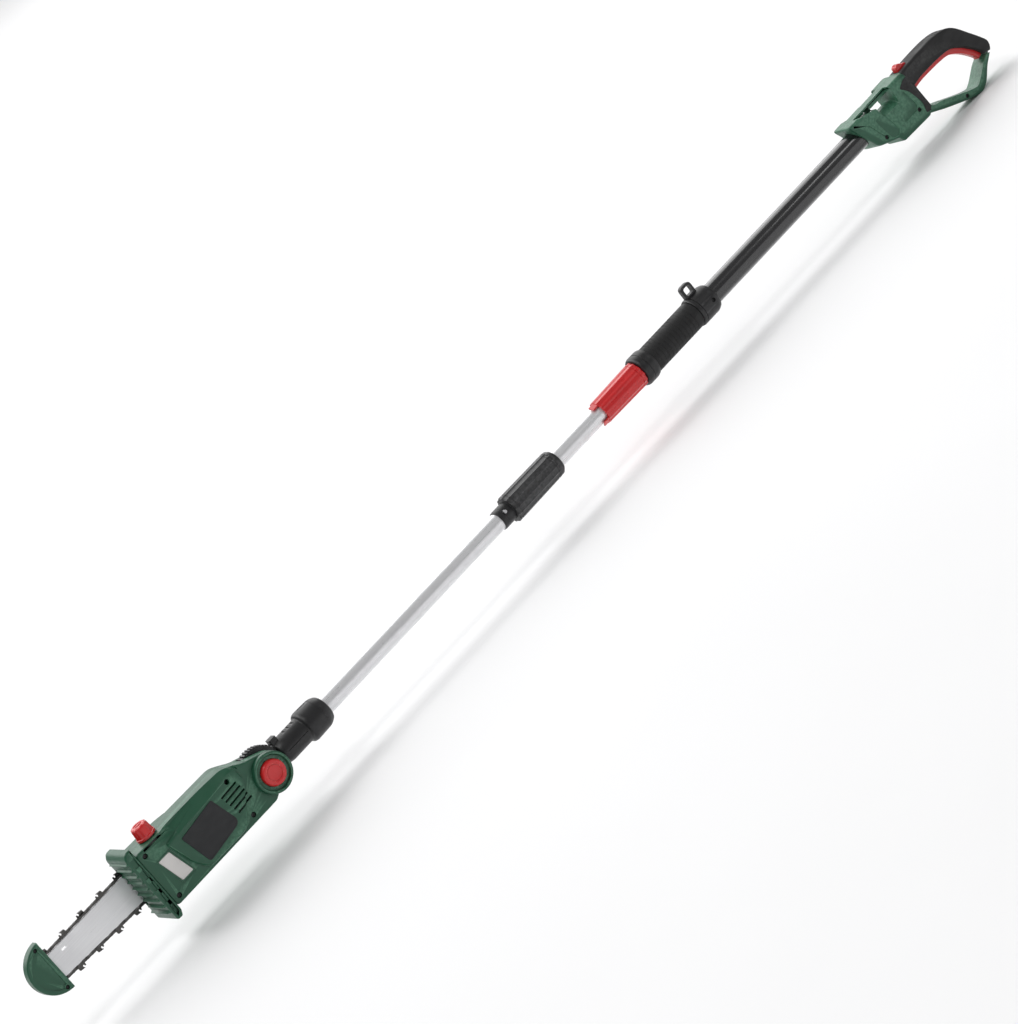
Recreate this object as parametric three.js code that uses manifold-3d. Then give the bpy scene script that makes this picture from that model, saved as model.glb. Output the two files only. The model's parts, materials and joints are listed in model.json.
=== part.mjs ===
// Telescoping pole saw: cutting head, two-stage pole and D-handle, in millimetres.
// The pole axis runs along X at y = 0, z = 0. The head's tilt pivot is at x = 0, the bar points
// to -X and the handle is at +X. +Z is the side of the oil cap, the grip and the lock-off button.
// The -Y side is called near and the +Y side far. The finished group is moved at the end so that
// its origin is at the bottom centre of its box.

import * as THREE from "three";
import { mergeVertices } from "three/addons/utils/BufferGeometryUtils.js";
import Module from "manifold-3d";

const wasm = await Module();
wasm.setup();

// ---------------------------------------------------------------- driving dimensions

const GAP = 0.3; // between pieces that touch
const WALL = 2.5; // moulded housing wall
const FULL_TURN = 2 * Math.PI;

// Pole, from the tilt pivot towards the handle
const NECK_START = 35; // pivot to the neck's barrel
const NECK_BARREL = 55;
const NECK_COLLAR = 42;
const LOWER_EXPOSED = 388; // bare lower tube
const COUPLING_THROAT = 24;
const NUT_LENGTH = 107;
const UPPER_EXPOSED = 105; // bare telescoping tube when collapsed
const LOCK_LENGTH = 89;
const FRONT_COLLAR = 26;
const FRONT_GRIP = 108;
const REAR_COLLAR = 42;
const OUTER_EXPOSED = 372; // outer tube between rear collar and handle

const TUBE_R = 14; // lower and telescoping tube
const TUBE_WALL = 1.6;
const TELESCOPE_CLEARANCE = 1.7; // round the telescoping tube, taken up by bush and collet
const OUTER_TUBE_WALL = 1.8;
const TELESCOPE_TRAVEL = 450;
const TUBE_OVERLAP = 90; // left inside the outer tube when fully drawn out
const TUBE_SEAT = 48; // depth of a tube in the neck
const COUPLING_SEAT = 34; // how far the lower tube reaches under the nut
const PLUG_START = 52; // where the two coupling parts meet under the nut
const PLUG_FLOOR = 12;
const SLEEVE_WALL = 3.5; // coupling parts under the nut
const NUT_WALL = 5.5;
const NUT_LIP = 4;
const COLLET_LENGTH = 44; // lock sleeve's front to the outer tube's end
const BUSH_LENGTH = 24;
const CABLE_R = 6; // half the coil's bore
const NECK_R = 20.5;
const NECK_COLLAR_R = 26;
const EYE_HEIGHT = 19;
const EYE_THICK = 10;

// Cutting head
const HEAD_LENGTH = 228; // pivot to the back of the bumper flange
const HEAD_TOP = 60;
const HEAD_BOTTOM = -34;
const HEAD_NEAR = 30; // half width on the near side
const HEAD_FAR = 17; // to the wall behind the chain
const COVER_FAR = 36; // outer face of the chain cover
const PIVOT_BOSS_R = 30;
const FLANGE_THICK = 16;
const FLANGE_TOP = 75;
const FLANGE_BOTTOM = -46;
const FLANGE_NEAR = 36;
const FLANGE_FAR = 33;
const TILT_DISC_R = 39;
const TILT_DISC_THICK = 16;
const PIVOT_PIN_R = 6;
const PIN_HEAD_R = 10;
const SPRING_R = 9.5; // button spring
const SPRING_SEAT = 6; // from the near face in to the button spring's seat
const BUTTON_R = 19.5;
const BUTTON_TRAVEL = 3;
const PANEL_RISE = 5; // raised side panel
const CAP_R = 16.5;
const CAP_HEIGHT = 21;
const FILLER_R = 10;
const HEAD_SCREW_R = 2;
const HEAD_SCREW_LENGTH = 26;
const SCREW_HEAD = 2.4; // depth of a screw's head
const VENTS = 5;
const VENT_PITCH = 8;
const VENT_LENGTH = 32;

// Bar and chain
const BAR_Y = 24; // centre plane of bar, chain and drive sprocket
const BAR_Z = 13;
const BAR_THICK = 4;
const BAR_TOP = 37.5;
const BAR_HEIGHT = 49;
const NOSE_R = 19.5;
const CUTTING_LENGTH = 180; // flange front to bar nose
const CHAIN_DEPTH = 5;
const CHAIN_WIDTH = 5.6;
const CUTTER_HEIGHT = 4.5;
const CUTTERS_PER_SIDE = 5;
const GUARD_THICK = 16;
const GUARD_DEPTH = 43;
const GUARD_HEIGHT = 83;
const GUARD_WALL = 2.6;
const GUARD_SCREW_R = 1.5;
const GUARD_SCREW_LENGTH = 9;
const STUD_R = 4; // clamps cover and bar
const KNOB_R = 17;

// Drive
const SPROCKET_X = -115;
const SPROCKET_R = 14;
const GEAR_MODULE = 2;
const GEAR_TEETH = 36;
const PINION_TEETH = 9;
const MOTOR_R = 21;
const MOTOR_SHAFT_R = 2.5;
const SHAFT_R = 4;
const BEARING_R = 11;
const GEAR_WIDTH = 4;
const BRACKET_THICK = 3;

// Handle, lengths from its mouth
const HANDLE_BODY = 118;
const HANDLE_HALF = 25; // half width of the housing
const GRIP_HALF = 16; // half width of the D
const GRIP_SKIN = 3; // thickness of the soft cover
const TRIGGER_HALF = 6.5;
const TRIGGER_THICK = 8;
const TRIGGER_ROOT = 1.5; // how far the trigger stands in the grip when let go
const TRIGGER_ROOM = 11; // depth of the groove that it swings into
const LOCK_OFF_HALF = 6.8;
const LOCK_OFF_ROOM = 0.6;
const TUBE_IN_HANDLE = 34;
const HANDLE_SCREW_R = 1.8;
const DOCK_HALF = 18.5; // half width over the battery rails
const DOCK_START = 53;
const CONTACT_LENGTH = 12;

// ---------------------------------------------------------------- stations along the pole

const neckCollarX = NECK_START + NECK_BARREL;
const neckEndX = neckCollarX + NECK_COLLAR;
const couplingX = neckEndX + LOWER_EXPOSED;
const nutX = couplingX + COUPLING_THROAT;
const nutEndX = nutX + NUT_LENGTH;
const lockX = nutEndX + UPPER_EXPOSED;
const lockEndX = lockX + LOCK_LENGTH;
const frontGripX = lockEndX + FRONT_COLLAR;
const rearCollarX = frontGripX + FRONT_GRIP;
const outerBareX = rearCollarX + REAR_COLLAR;
const handleX = outerBareX + OUTER_EXPOSED;
const outerTubeX = lockX + COLLET_LENGTH;
const tubeEndX = outerTubeX + TELESCOPE_TRAVEL + TUBE_OVERLAP;
const handleTubeX = handleX + TUBE_IN_HANDLE;
const plugX = nutX + PLUG_START;
const socketTubeEnd = nutX + COUPLING_SEAT;

// Radii along the pole
const tubeBore = TUBE_R - TUBE_WALL;
const outerBore = TUBE_R + TELESCOPE_CLEARANCE;
const outerTubeR = outerBore + OUTER_TUBE_WALL;
const sleeveR = TUBE_R + SLEEVE_WALL;
const nutR = sleeveR + NUT_WALL;
const gripBore = outerTubeR + GAP;
const gripR = outerTubeR + 5;

// Stations in the head
const headFront = -HEAD_LENGTH;
const flangeFront = headFront - FLANGE_THICK;
const barTipX = flangeFront - CUTTING_LENGTH;
const barStudX = headFront + 38;
const motorX = SPROCKET_X + (GEAR_MODULE * (GEAR_TEETH + PINION_TEETH)) / 2;
const farWallY = HEAD_FAR - WALL;
const coverInner = COVER_FAR - WALL;
const panelY = -HEAD_NEAR - PANEL_RISE;
const springSeatY = -HEAD_NEAR + SPRING_SEAT;
const barBottom = BAR_TOP - BAR_HEIGHT;
const chainRoom = CHAIN_DEPTH + CUTTER_HEIGHT + 3; // clear of the cutters, above and below the bar

// ---------------------------------------------------------------- geometry helpers

// A closed three.js geometry as a manifold solid.
function solid(geometry) {
  const plain = geometry.clone();
  plain.deleteAttribute("normal");
  plain.deleteAttribute("uv");
  const merged = mergeVertices(plain, 1e-4);
  return new wasm.Manifold(
    new wasm.Mesh({
      numProp: 3,
      vertProperties: new Float32Array(merged.attributes.position.array),
      triVerts: new Uint32Array(merged.index.array),
    }),
  );
}

function box(x0, x1, y0, y1, z0, z1) {
  const shape = new THREE.BoxGeometry(x1 - x0, y1 - y0, z1 - z0);
  shape.translate((x0 + x1) / 2, (y0 + y1) / 2, (z0 + z1) / 2);
  return solid(shape);
}

// Turns a geometry made along +Y so that it runs along the named axis.
const TURN = {
  x: (g) => g.rotateZ(-Math.PI / 2),
  y: (g) => g,
  z: (g) => g.rotateX(Math.PI / 2),
};

// A solid of revolution: profile points are [along, radius] on the axis x, y or z.
function turned(axis, profile, centre = [0, 0, 0], sides = 24) {
  const points = profile.map(([along, radius]) => new THREE.Vector2(radius, along));
  const lathe = new THREE.LatheGeometry(points, sides);
  TURN[axis](lathe);
  lathe.translate(...centre);
  const made = solid(lathe);
  if (made.volume() > 0) return made;
  return turned(axis, [...profile].reverse(), centre, sides);
}

function rod(axis, radius, from, to, centre = [0, 0, 0], sides = 24) {
  return turned(axis, [[from, 0], [from, radius], [to, radius], [to, 0]], centre, sides);
}

function ring(axis, inner, outer, from, to, centre = [0, 0, 0], sides = 24) {
  const profile = [[from, inner], [from, outer], [to, outer], [to, inner], [from, inner]];
  return turned(axis, profile, centre, sides);
}

// A closed outline from corners [x, z, radius]; a corner with a radius is rounded off, by at most
// a little under half of the shorter edge beside it.
function outline(corners) {
  const shape = new THREE.Shape();
  corners.forEach(([x, z, radius = 0], i) => {
    const here = new THREE.Vector2(x, z);
    if (!radius) {
      if (i === 0) shape.moveTo(x, z);
      else shape.lineTo(x, z);
      return;
    }
    const [bx, bz] = corners[(i + corners.length - 1) % corners.length];
    const [nx, nz] = corners[(i + 1) % corners.length];
    const toBefore = new THREE.Vector2(bx, bz).sub(here);
    const toAfter = new THREE.Vector2(nx, nz).sub(here);
    const reach = Math.min(radius, 0.47 * toBefore.length(), 0.47 * toAfter.length());
    const before = toBefore.setLength(reach).add(here);
    const after = toAfter.setLength(reach).add(here);
    if (i === 0) shape.moveTo(before.x, before.y);
    else shape.lineTo(before.x, before.y);
    shape.quadraticCurveTo(x, z, after.x, after.y);
  });
  shape.closePath();
  return shape;
}

// The outline as a plain polygon, without doubled points or points on a straight run.
function polygon(shape, steps) {
  const points = shape.getPoints(steps);
  const apart = points.filter((p, i) => p.distanceTo(points[(i + 1) % points.length]) > 1e-3);
  const turning = apart.filter((p, i) => {
    const a = apart[(i + apart.length - 1) % apart.length];
    const b = apart[(i + 1) % apart.length];
    return Math.abs((p.x - a.x) * (b.y - a.y) - (p.y - a.y) * (b.x - a.x)) > 1e-3;
  });
  return new THREE.Shape(turning);
}

// A flat outline in x and z given thickness along y, with its edges bevelled by edge.
function slab(shape, y0, y1, edge = 0, steps = 3) {
  const made = new THREE.ExtrudeGeometry(polygon(shape, steps), {
    depth: y1 - y0 - 2 * edge,
    curveSegments: steps,
    bevelEnabled: edge > 0,
    bevelThickness: edge,
    bevelSize: edge,
    bevelOffset: -edge,
    bevelSegments: edge > 2 ? 2 : 1,
  });
  made.translate(0, 0, -(y1 - edge));
  made.rotateX(Math.PI / 2);
  return solid(made);
}

// The polyline moved sideways by distance, to the right of its direction of travel.
function offsetLine(points, distance) {
  return points.map(([x, z], i) => {
    const [ax, az] = points[Math.max(i - 1, 0)];
    const [bx, bz] = points[Math.min(i + 1, points.length - 1)];
    const length = Math.hypot(bx - ax, bz - az);
    return [x + ((bz - az) / length) * distance, z - ((bx - ax) / length) * distance];
  });
}

function arcPoints(cx, cz, radius, fromDeg, toDeg, steps) {
  return Array.from({ length: steps + 1 }, (_, i) => {
    const angle = THREE.MathUtils.degToRad(fromDeg + ((toDeg - fromDeg) * i) / steps);
    return [cx + radius * Math.cos(angle), cz + radius * Math.sin(angle)];
  });
}

// A ribbed sleeve along x whose radius goes from r0 to r1; ribs are raised by height.
function ribbed(x0, x1, r0, r1, bore, ribs, height) {
  const shape = new THREE.Shape();
  const steps = ribs * 4;
  for (let i = 0; i < steps; i++) {
    const angle = (i / steps) * FULL_TURN;
    const reach = 1 - (i % 4 < 2 ? 0 : height / r0);
    const x = Math.cos(angle) * reach;
    const y = Math.sin(angle) * reach;
    if (i === 0) shape.moveTo(x, y);
    else shape.lineTo(x, y);
  }
  shape.closePath();
  const sleeve = new THREE.ExtrudeGeometry(shape, { depth: x1 - x0, bevelEnabled: false });
  sleeve.rotateY(Math.PI / 2);
  const position = sleeve.attributes.position;
  for (let i = 0; i < position.count; i++) {
    const share = position.getX(i) / (x1 - x0);
    const radius = r0 + (r1 - r0) * share;
    position.setXYZ(
      i,
      position.getX(i) + x0,
      position.getY(i) * radius,
      position.getZ(i) * radius,
    );
  }
  return solid(sleeve).subtract(rod("x", bore, x0 - 1, x1 + 1));
}

// A spur gear as an outline in x and z, teeth counted round its centre.
function gear(teeth, cx, cz, y0, y1, bore) {
  const pitch = (GEAR_MODULE * teeth) / 2;
  const tip = pitch + GEAR_MODULE * 0.7;
  const root = pitch - GEAR_MODULE * 1.1;
  const shape = new THREE.Shape();
  const half = FULL_TURN / teeth / 2;
  for (let tooth = 0; tooth < teeth; tooth++) {
    const middle = tooth * 2 * half;
    [[root, -0.5], [tip, -0.15], [tip, 0.15], [root, 0.5]].forEach(([radius, share], k) => {
      const angle = middle + share * half;
      const x = cx + radius * Math.cos(angle);
      const z = cz + radius * Math.sin(angle);
      if (tooth === 0 && k === 0) shape.moveTo(x, z);
      else shape.lineTo(x, z);
    });
  }
  shape.closePath();
  return slab(shape, y0, y1).subtract(rod("y", bore, y0 - 1, y1 + 1, [cx, 0, cz], 16));
}

// A cap screw along y: its head starts at headY and the shank runs on towards +Y.
function screw(x, z, headY, shankR, shankLength) {
  const head = rod("y", shankR * 1.9, 0, SCREW_HEAD, [0, 0, 0], 10);
  const shank = rod("y", shankR, SCREW_HEAD - 0.1, SCREW_HEAD + shankLength, [0, 0, 0], 6);
  return head.add(shank).translate([x, headY, z]);
}

// The hole that a screw of the same sizes needs.
function screwHole(x, z, headY, shankR, shankLength) {
  const shank = rod("y", shankR + GAP, -5, SCREW_HEAD + shankLength + GAP, [0, 0, 0], 6);
  const head = rod("y", shankR * 1.9 + GAP, -8, SCREW_HEAD + GAP, [0, 0, 0], 10);
  return shank.add(head).translate([x, headY, z]);
}

const saw = new THREE.Group();

const FINISH = {
  green: { color: 0x1e5a3c, roughness: 0.45, metalness: 0 },
  black: { color: 0x1c1c1e, roughness: 0.6, metalness: 0 },
  grey: { color: 0x3a3b3d, roughness: 0.6, metalness: 0 },
  red: { color: 0xcc1419, roughness: 0.35, metalness: 0 },
  silver: { color: 0xd8dadc, roughness: 0.3, metalness: 0.9 },
  steel: { color: 0x9a9ca0, roughness: 0.35, metalness: 0.9 },
  clear: { color: 0xe4e0d8, roughness: 0.2, metalness: 0 },
};

function add(name, made, finish) {
  const data = made.getMesh();
  const geometry = new THREE.BufferGeometry();
  geometry.setAttribute("position", new THREE.BufferAttribute(data.vertProperties, 3));
  geometry.setIndex(new THREE.BufferAttribute(data.triVerts, 1));
  geometry.computeVertexNormals();
  const mesh = new THREE.Mesh(geometry, new THREE.MeshStandardMaterial(FINISH[finish]));
  mesh.name = name;
  saw.add(mesh);
}

// ---------------------------------------------------------------- cutting head housing

// The housing's side outline, drawn in by inset; it ends in a round boss about the pivot.
function headOutline(inset) {
  const front = headFront + inset;
  const top = HEAD_TOP - inset;
  const bottom = HEAD_BOTTOM + inset;
  const boss = PIVOT_BOSS_R + 1 - inset;
  return outline([
    [front, bottom, 8],
    [front, top, 8],
    [-PIVOT_BOSS_R - 22, top - 3, 16],
    [-PIVOT_BOSS_R - 7, top - 11, 8],
    [-PIVOT_BOSS_R + 8, top - 20, 8],
    [-3, boss + 3, 8],
    ...arcPoints(0, 0, boss, 65, -110, 12),
    [-PIVOT_BOSS_R - 6, bottom + 4, 8],
    [-PIVOT_BOSS_R - 32, bottom, 8],
  ]);
}

const headScrewSpots = [
  [headFront + 12, HEAD_TOP - 10],
  [headFront + 12, HEAD_BOTTOM + 10],
  [motorX + 10, HEAD_TOP - 20],
  [motorX + 10, HEAD_BOTTOM + 11],
];
const headScrewY = -HEAD_NEAR + 1.5;

const cheekGap = TILT_DISC_THICK / 2 + 1; // half the slot that the tilt disc turns in
const bossY = -HEAD_NEAR - 8; // outer face of the ring round the button
const windowSpot = { x0: headFront + 20, x1: headFront + 41, z0: HEAD_BOTTOM + 21, z1: HEAD_TOP - 30 };
const WINDOW_LEAN = 10; // how far the window's lower edge lies behind its upper one
const filler = { x: headFront + 40, y: -6 };
const gearY1 = farWallY - 1;
const gearY0 = gearY1 - GEAR_WIDTH;
const bracketY1 = gearY0 - 1.5;
const bracketY0 = bracketY1 - BRACKET_THICK;

function headShells() {
  const skin = slab(headOutline(0), -HEAD_NEAR, HEAD_NEAR, 3);
  const cavity = slab(headOutline(WALL), -HEAD_NEAR + WALL, farWallY, 0);
  const cheekX = -PIVOT_BOSS_R - 8;
  const cheeks = box(cheekX, PIVOT_BOSS_R, -HEAD_NEAR + WALL, farWallY, HEAD_BOTTOM, HEAD_TOP);
  const panel = slab(
    outline([
      [headFront + 72, HEAD_BOTTOM + 5, 10],
      [headFront + 56, HEAD_BOTTOM + 28, 8],
      [headFront + 44, HEAD_TOP - 19, 5],
      [SPROCKET_X - 27, HEAD_TOP - 13, 10],
      [SPROCKET_X + 29, HEAD_TOP - 5, 10],
      [cheekX - 12, HEAD_TOP - 4, 8],
      [cheekX - 1, HEAD_TOP - 11, 6],
      [cheekX, HEAD_TOP - 36, 10],
      [cheekX - 40, HEAD_BOTTOM + 4, 12],
    ]),
    panelY,
    -HEAD_NEAR + 2,
    3,
  );
  const boss = rod("y", PIVOT_BOSS_R, bossY, -HEAD_NEAR + 1);
  let body = skin.add(panel).add(boss).subtract(cavity.subtract(cheeks));
  headScrewSpots.forEach(([x, z]) => {
    body = body.add(rod("y", 5, -HEAD_NEAR + 1, farWallY + 1, [x, 0, z], 8));
  });
  body = body.intersect(slab(headOutline(0), -60, 60).add(boss));
  body = body
    .subtract(rod("y", TILT_DISC_R + 3, -cheekGap, cheekGap, [0, 0, 0], 28))
    .subtract(box(20, 60, -cheekGap, cheekGap, -50, 50))
    .subtract(rod("y", PIVOT_PIN_R + GAP, springSeatY, 40, [0, 0, 0], 20))
    .subtract(rod("y", BUTTON_R + GAP + 0.2, -60, -HEAD_NEAR + 2))
    .subtract(rod("y", SPRING_R + 1.5, -60, springSeatY, [0, 0, 0], 20))
    .subtract(rod("y", BUTTON_R + 6, -60, bossY + 4));
  for (let slot = 0; slot < VENTS; slot++) {
    const z = BAR_Z + 14 - slot * VENT_PITCH;
    const x = motorX - 12 + slot * 1.5;
    const vent = outline([[x, z], [x, z + 3], [x + VENT_LENGTH, z + 5], [x + VENT_LENGTH, z + 2]]);
    body = body.subtract(slab(vent, -60, -HEAD_NEAR + WALL + 1));
  }
  headScrewSpots.forEach(([x, z]) => {
    body = body.subtract(screwHole(x, z, headScrewY, HEAD_SCREW_R, HEAD_SCREW_LENGTH));
  });
  body = body
    .subtract(windowPocket(GAP))
    .subtract(rod("z", FILLER_R + GAP, 40, 90, [filler.x, filler.y, 0], 24))
    .subtract(rod("y", BEARING_R + GAP, farWallY - 2, 40, [SPROCKET_X, 0, BAR_Z], 24));
  const near = body.intersect(box(-400, 60, -80, -GAP / 2, -80, 100));
  const far = body.intersect(box(-400, 60, GAP / 2, HEAD_FAR, -80, 100));
  const deckBoss = rod("y", 6, farWallY, BAR_Y - BAR_THICK / 2 - GAP, [barStudX, 0, BAR_Z], 16);
  const studHole = rod("y", STUD_R + GAP, 8, 60, [barStudX, 0, BAR_Z], 16);
  add("head_shell_near", near, "green");
  add("head_shell_far", far.add(deckBoss).subtract(studHole), "green");
  headScrewSpots.forEach(([x, z], i) => {
    const made = screw(x, z, headScrewY, HEAD_SCREW_R, HEAD_SCREW_LENGTH);
    add(`head_screw_${i + 1}`, made, "steel");
  });
}

function windowPocket(extra) {
  const { x0, x1, z0, z1 } = windowSpot;
  return slab(
    outline([
      [x0 + WINDOW_LEAN - extra, z0 - extra],
      [x0 - extra, z1 + extra],
      [x1 + extra, z1 + extra],
      [x1 + WINDOW_LEAN + extra, z0 - extra],
    ]),
    -HEAD_NEAR - 10,
    -HEAD_NEAR + WALL + 1,
  );
}

function headTrim() {
  const paneLayer = box(-400, 0, -HEAD_NEAR - 0.5, -HEAD_NEAR + WALL - 0.5, -80, 90);
  add("oil_window", windowPocket(0).intersect(paneLayer), "clear");
  const label = outline([
    [headFront + 76, HEAD_BOTTOM + 12, 5],
    [headFront + 65, HEAD_TOP - 29, 3],
    [SPROCKET_X + 20, HEAD_TOP - 21, 3],
    [SPROCKET_X + 33, HEAD_BOTTOM + 21, 8],
  ]);
  add("label_panel", slab(label, panelY - GAP - 0.8, panelY - GAP), "grey");
}

// The stop plate in front of the housing, ribbed across its front face.
function bumperFlange() {
  const front = flangeFront;
  const back = headFront - GAP;
  const side = outline([
    [front + 2, FLANGE_BOTTOM, 4],
    [front, FLANGE_TOP - 8, 4],
    [front + 6, FLANGE_TOP, 4],
    [back, FLANGE_TOP],
    [back, FLANGE_BOTTOM + 8],
    [back - 4, FLANGE_BOTTOM],
  ]);
  let plate = slab(side, -FLANGE_NEAR, FLANGE_FAR, 2);
  const ribs = 9;
  const pitch = (FLANGE_TOP - FLANGE_BOTTOM - 20) / ribs;
  for (let i = 0; i < ribs; i++) {
    const z = FLANGE_BOTTOM + 12 + i * pitch;
    const crest = [front - 3, z + pitch / 3];
    const rib = outline([[front + 3, z], crest, [front + 3, z + (2 * pitch) / 3]]);
    plate = plate.add(slab(rib, -FLANGE_NEAR + 5, FLANGE_FAR - 5));
  }
  const chainPass = box(
    front - 10,
    back + 10,
    BAR_Y - CHAIN_WIDTH / 2 - 2,
    BAR_Y + CHAIN_WIDTH / 2 + 2,
    barBottom - chainRoom,
    BAR_TOP + chainRoom,
  );
  add("bumper_flange", plate.subtract(chainPass), "green");
}

// Cover over sprocket and bar root, clamped by a knob on a stud.
function chainCover() {
  const rear = SPROCKET_X + 35;
  const side = (inset) =>
    outline([
      [headFront + inset, HEAD_BOTTOM + inset + 4],
      [headFront + inset, HEAD_TOP - inset - 1],
      [headFront + 78, HEAD_TOP - inset - 3, 20],
      [rear - 10 - inset, HEAD_TOP - inset - 16, 14],
      [rear - inset, 0, 14],
      [rear - 10 - inset, HEAD_BOTTOM + inset + 6, 14],
    ]);
  const skin = slab(side(0), HEAD_FAR + GAP - 4, COVER_FAR, 4).subtract(
    box(-400, 60, -60, HEAD_FAR + GAP, -80, 100),
  );
  const cavity = slab(side(WALL), 0, coverInner);
  const mouth = box(
    headFront - 10,
    headFront + 20,
    0,
    coverInner,
    barBottom - chainRoom,
    BAR_TOP + chainRoom,
  );
  const spot = [barStudX, 0, BAR_Z];
  const clampPad = rod("y", STUD_R + 5, BAR_Y + BAR_THICK / 2 + GAP, coverInner + 1, spot, 20);
  const cover = skin
    .subtract(cavity)
    .subtract(mouth)
    .add(clampPad)
    .subtract(rod("y", STUD_R + GAP, 0, 60, spot, 16));
  add("chain_cover", cover, "green");
  add("bar_stud", rod("y", STUD_R, farWallY - 5, COVER_FAR + 6, spot, 16), "steel");
  const knob = turned(
    "y",
    [
      [COVER_FAR + GAP, STUD_R + GAP],
      [COVER_FAR + GAP, KNOB_R],
      [COVER_FAR + 9, KNOB_R - 1],
      [COVER_FAR + 11, KNOB_R - 4],
      [COVER_FAR + 11, 0],
      [COVER_FAR + 8, 0],
      [COVER_FAR + 8, STUD_R + GAP],
      [COVER_FAR + GAP, STUD_R + GAP],
    ],
    spot,
  );
  const wingReach = KNOB_R - 3;
  const wing = box(
    barStudX - wingReach,
    barStudX + wingReach,
    COVER_FAR + 10,
    COVER_FAR + 15,
    BAR_Z - 3,
    BAR_Z + 3,
  );
  add("cover_knob", knob.add(wing), "black");
}

// ---------------------------------------------------------------- bar, chain and guard

const noseX = barTipX + NOSE_R;
const noseZ = BAR_TOP - NOSE_R;
const barRearX = SPROCKET_X - SPROCKET_R - 8;
const railTopX = headFront + 43; // where the upper rail begins
const railBottomX = headFront + 33;
const noseRailDeg = 264; // the nose's arc ends here, on the lower rail

function barAndChain() {
  const bar = slab(
    outline([
      [barRearX, BAR_Z - 10, 4],
      [barRearX, BAR_Z + 10, 4],
      [railTopX, BAR_TOP, 12],
      ...arcPoints(noseX, noseZ, NOSE_R, 90, noseRailDeg, 10),
      [railBottomX, barBottom, 12],
    ]),
    BAR_Y - BAR_THICK / 2,
    BAR_Y + BAR_THICK / 2,
  );
  const slotHalf = STUD_R + GAP;
  const studSlot = outline([
    [barStudX - 9, BAR_Z - slotHalf, 3],
    [barStudX - 9, BAR_Z + slotHalf, 3],
    [barStudX + 9, BAR_Z + slotHalf, 3],
    [barStudX + 9, BAR_Z - slotHalf, 3],
  ]);
  add("guide_bar", bar.subtract(slab(studSlot, 0, 60)), "silver");

  const loop = (reach) =>
    outline([
      ...arcPoints(SPROCKET_X, BAR_Z, SPROCKET_R + 1 + reach, -75, 75, 6),
      [railTopX, BAR_TOP + reach, 8],
      ...arcPoints(noseX, noseZ, NOSE_R + reach, 90, noseRailDeg, 10),
      [railBottomX, barBottom - reach, 8],
    ]);
  const y0 = BAR_Y - CHAIN_WIDTH / 2;
  const y1 = BAR_Y + CHAIN_WIDTH / 2;
  let chain = slab(loop(GAP + CHAIN_DEPTH), y0, y1).subtract(slab(loop(GAP), y0 - 1, y1 + 1));
  const start = flangeFront - 12;
  const pitch = (CUTTING_LENGTH - 60) / (CUTTERS_PER_SIDE - 1);
  const rise = (BAR_HEIGHT - 2 * NOSE_R) / (railBottomX - noseX); // the lower rail rises to the nose
  const cutterLength = 14;
  for (let i = 0; i < CUTTERS_PER_SIDE; i++) {
    const x = start - i * pitch;
    const rear = x - cutterLength;
    const upper = BAR_TOP + GAP + CHAIN_DEPTH - 1;
    const crest = upper + CUTTER_HEIGHT;
    const lower = barBottom - GAP - CHAIN_DEPTH + 1 + (railBottomX - x) * rise;
    const dip = lower - CUTTER_HEIGHT;
    chain = chain
      .add(slab(outline([[x, upper], [x - 3, crest + 1], [rear, crest], [rear, upper]]), y0, y1))
      .add(slab(outline([[x, lower], [x, dip], [rear + 3, dip - 1], [rear, lower]]), y0, y1));
  }
  add("saw_chain", chain, "black");
}

const guardBackX = barTipX + 27;
const guardZ = noseZ + 4;
const guardScrewSpots = [
  [guardBackX - 9, guardZ + GUARD_HEIGHT / 2 - 7],
  [guardBackX - 9, guardZ - GUARD_HEIGHT / 2 + 7],
];

function noseGuard() {
  const half = GUARD_HEIGHT / 2;
  const moon = (inset, overshoot) => {
    const steps = 14;
    const curve = Array.from({ length: steps - 1 }, (_, i) => {
      const angle = (Math.PI * (i + 1)) / steps;
      const reach = (GUARD_DEPTH - inset) * Math.sin(angle);
      return [guardBackX - reach, guardZ + (half - inset) * Math.cos(angle)];
    });
    const back = guardBackX + overshoot;
    return outline([[back, guardZ + half - inset], ...curve, [back, guardZ - half + inset]]);
  };
  const y0 = BAR_Y - GUARD_THICK / 2;
  const y1 = BAR_Y + GUARD_THICK / 2;
  const slotHalf = CHAIN_WIDTH / 2 + 1;
  const slot = slab(moon(GUARD_WALL, 10), BAR_Y - slotHalf, BAR_Y + slotHalf);
  let guard = slab(moon(0, 0), y0, y1, 2).subtract(slot);
  guardScrewSpots.forEach(([x, z]) => {
    const post = rod("y", 4, y0 + 2, y1 - 2, [x, 0, z], 14);
    const hole = screwHole(x, z, y0 + 1, GUARD_SCREW_R, GUARD_SCREW_LENGTH);
    guard = guard.add(post).subtract(hole);
  });
  add("nose_guard", guard, "green");
  guardScrewSpots.forEach(([x, z], i) => {
    const made = screw(x, z, y0 + 1, GUARD_SCREW_R, GUARD_SCREW_LENGTH);
    add(`guard_screw_${i + 1}`, made, "steel");
  });
}

// ---------------------------------------------------------------- drive and oil

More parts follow.
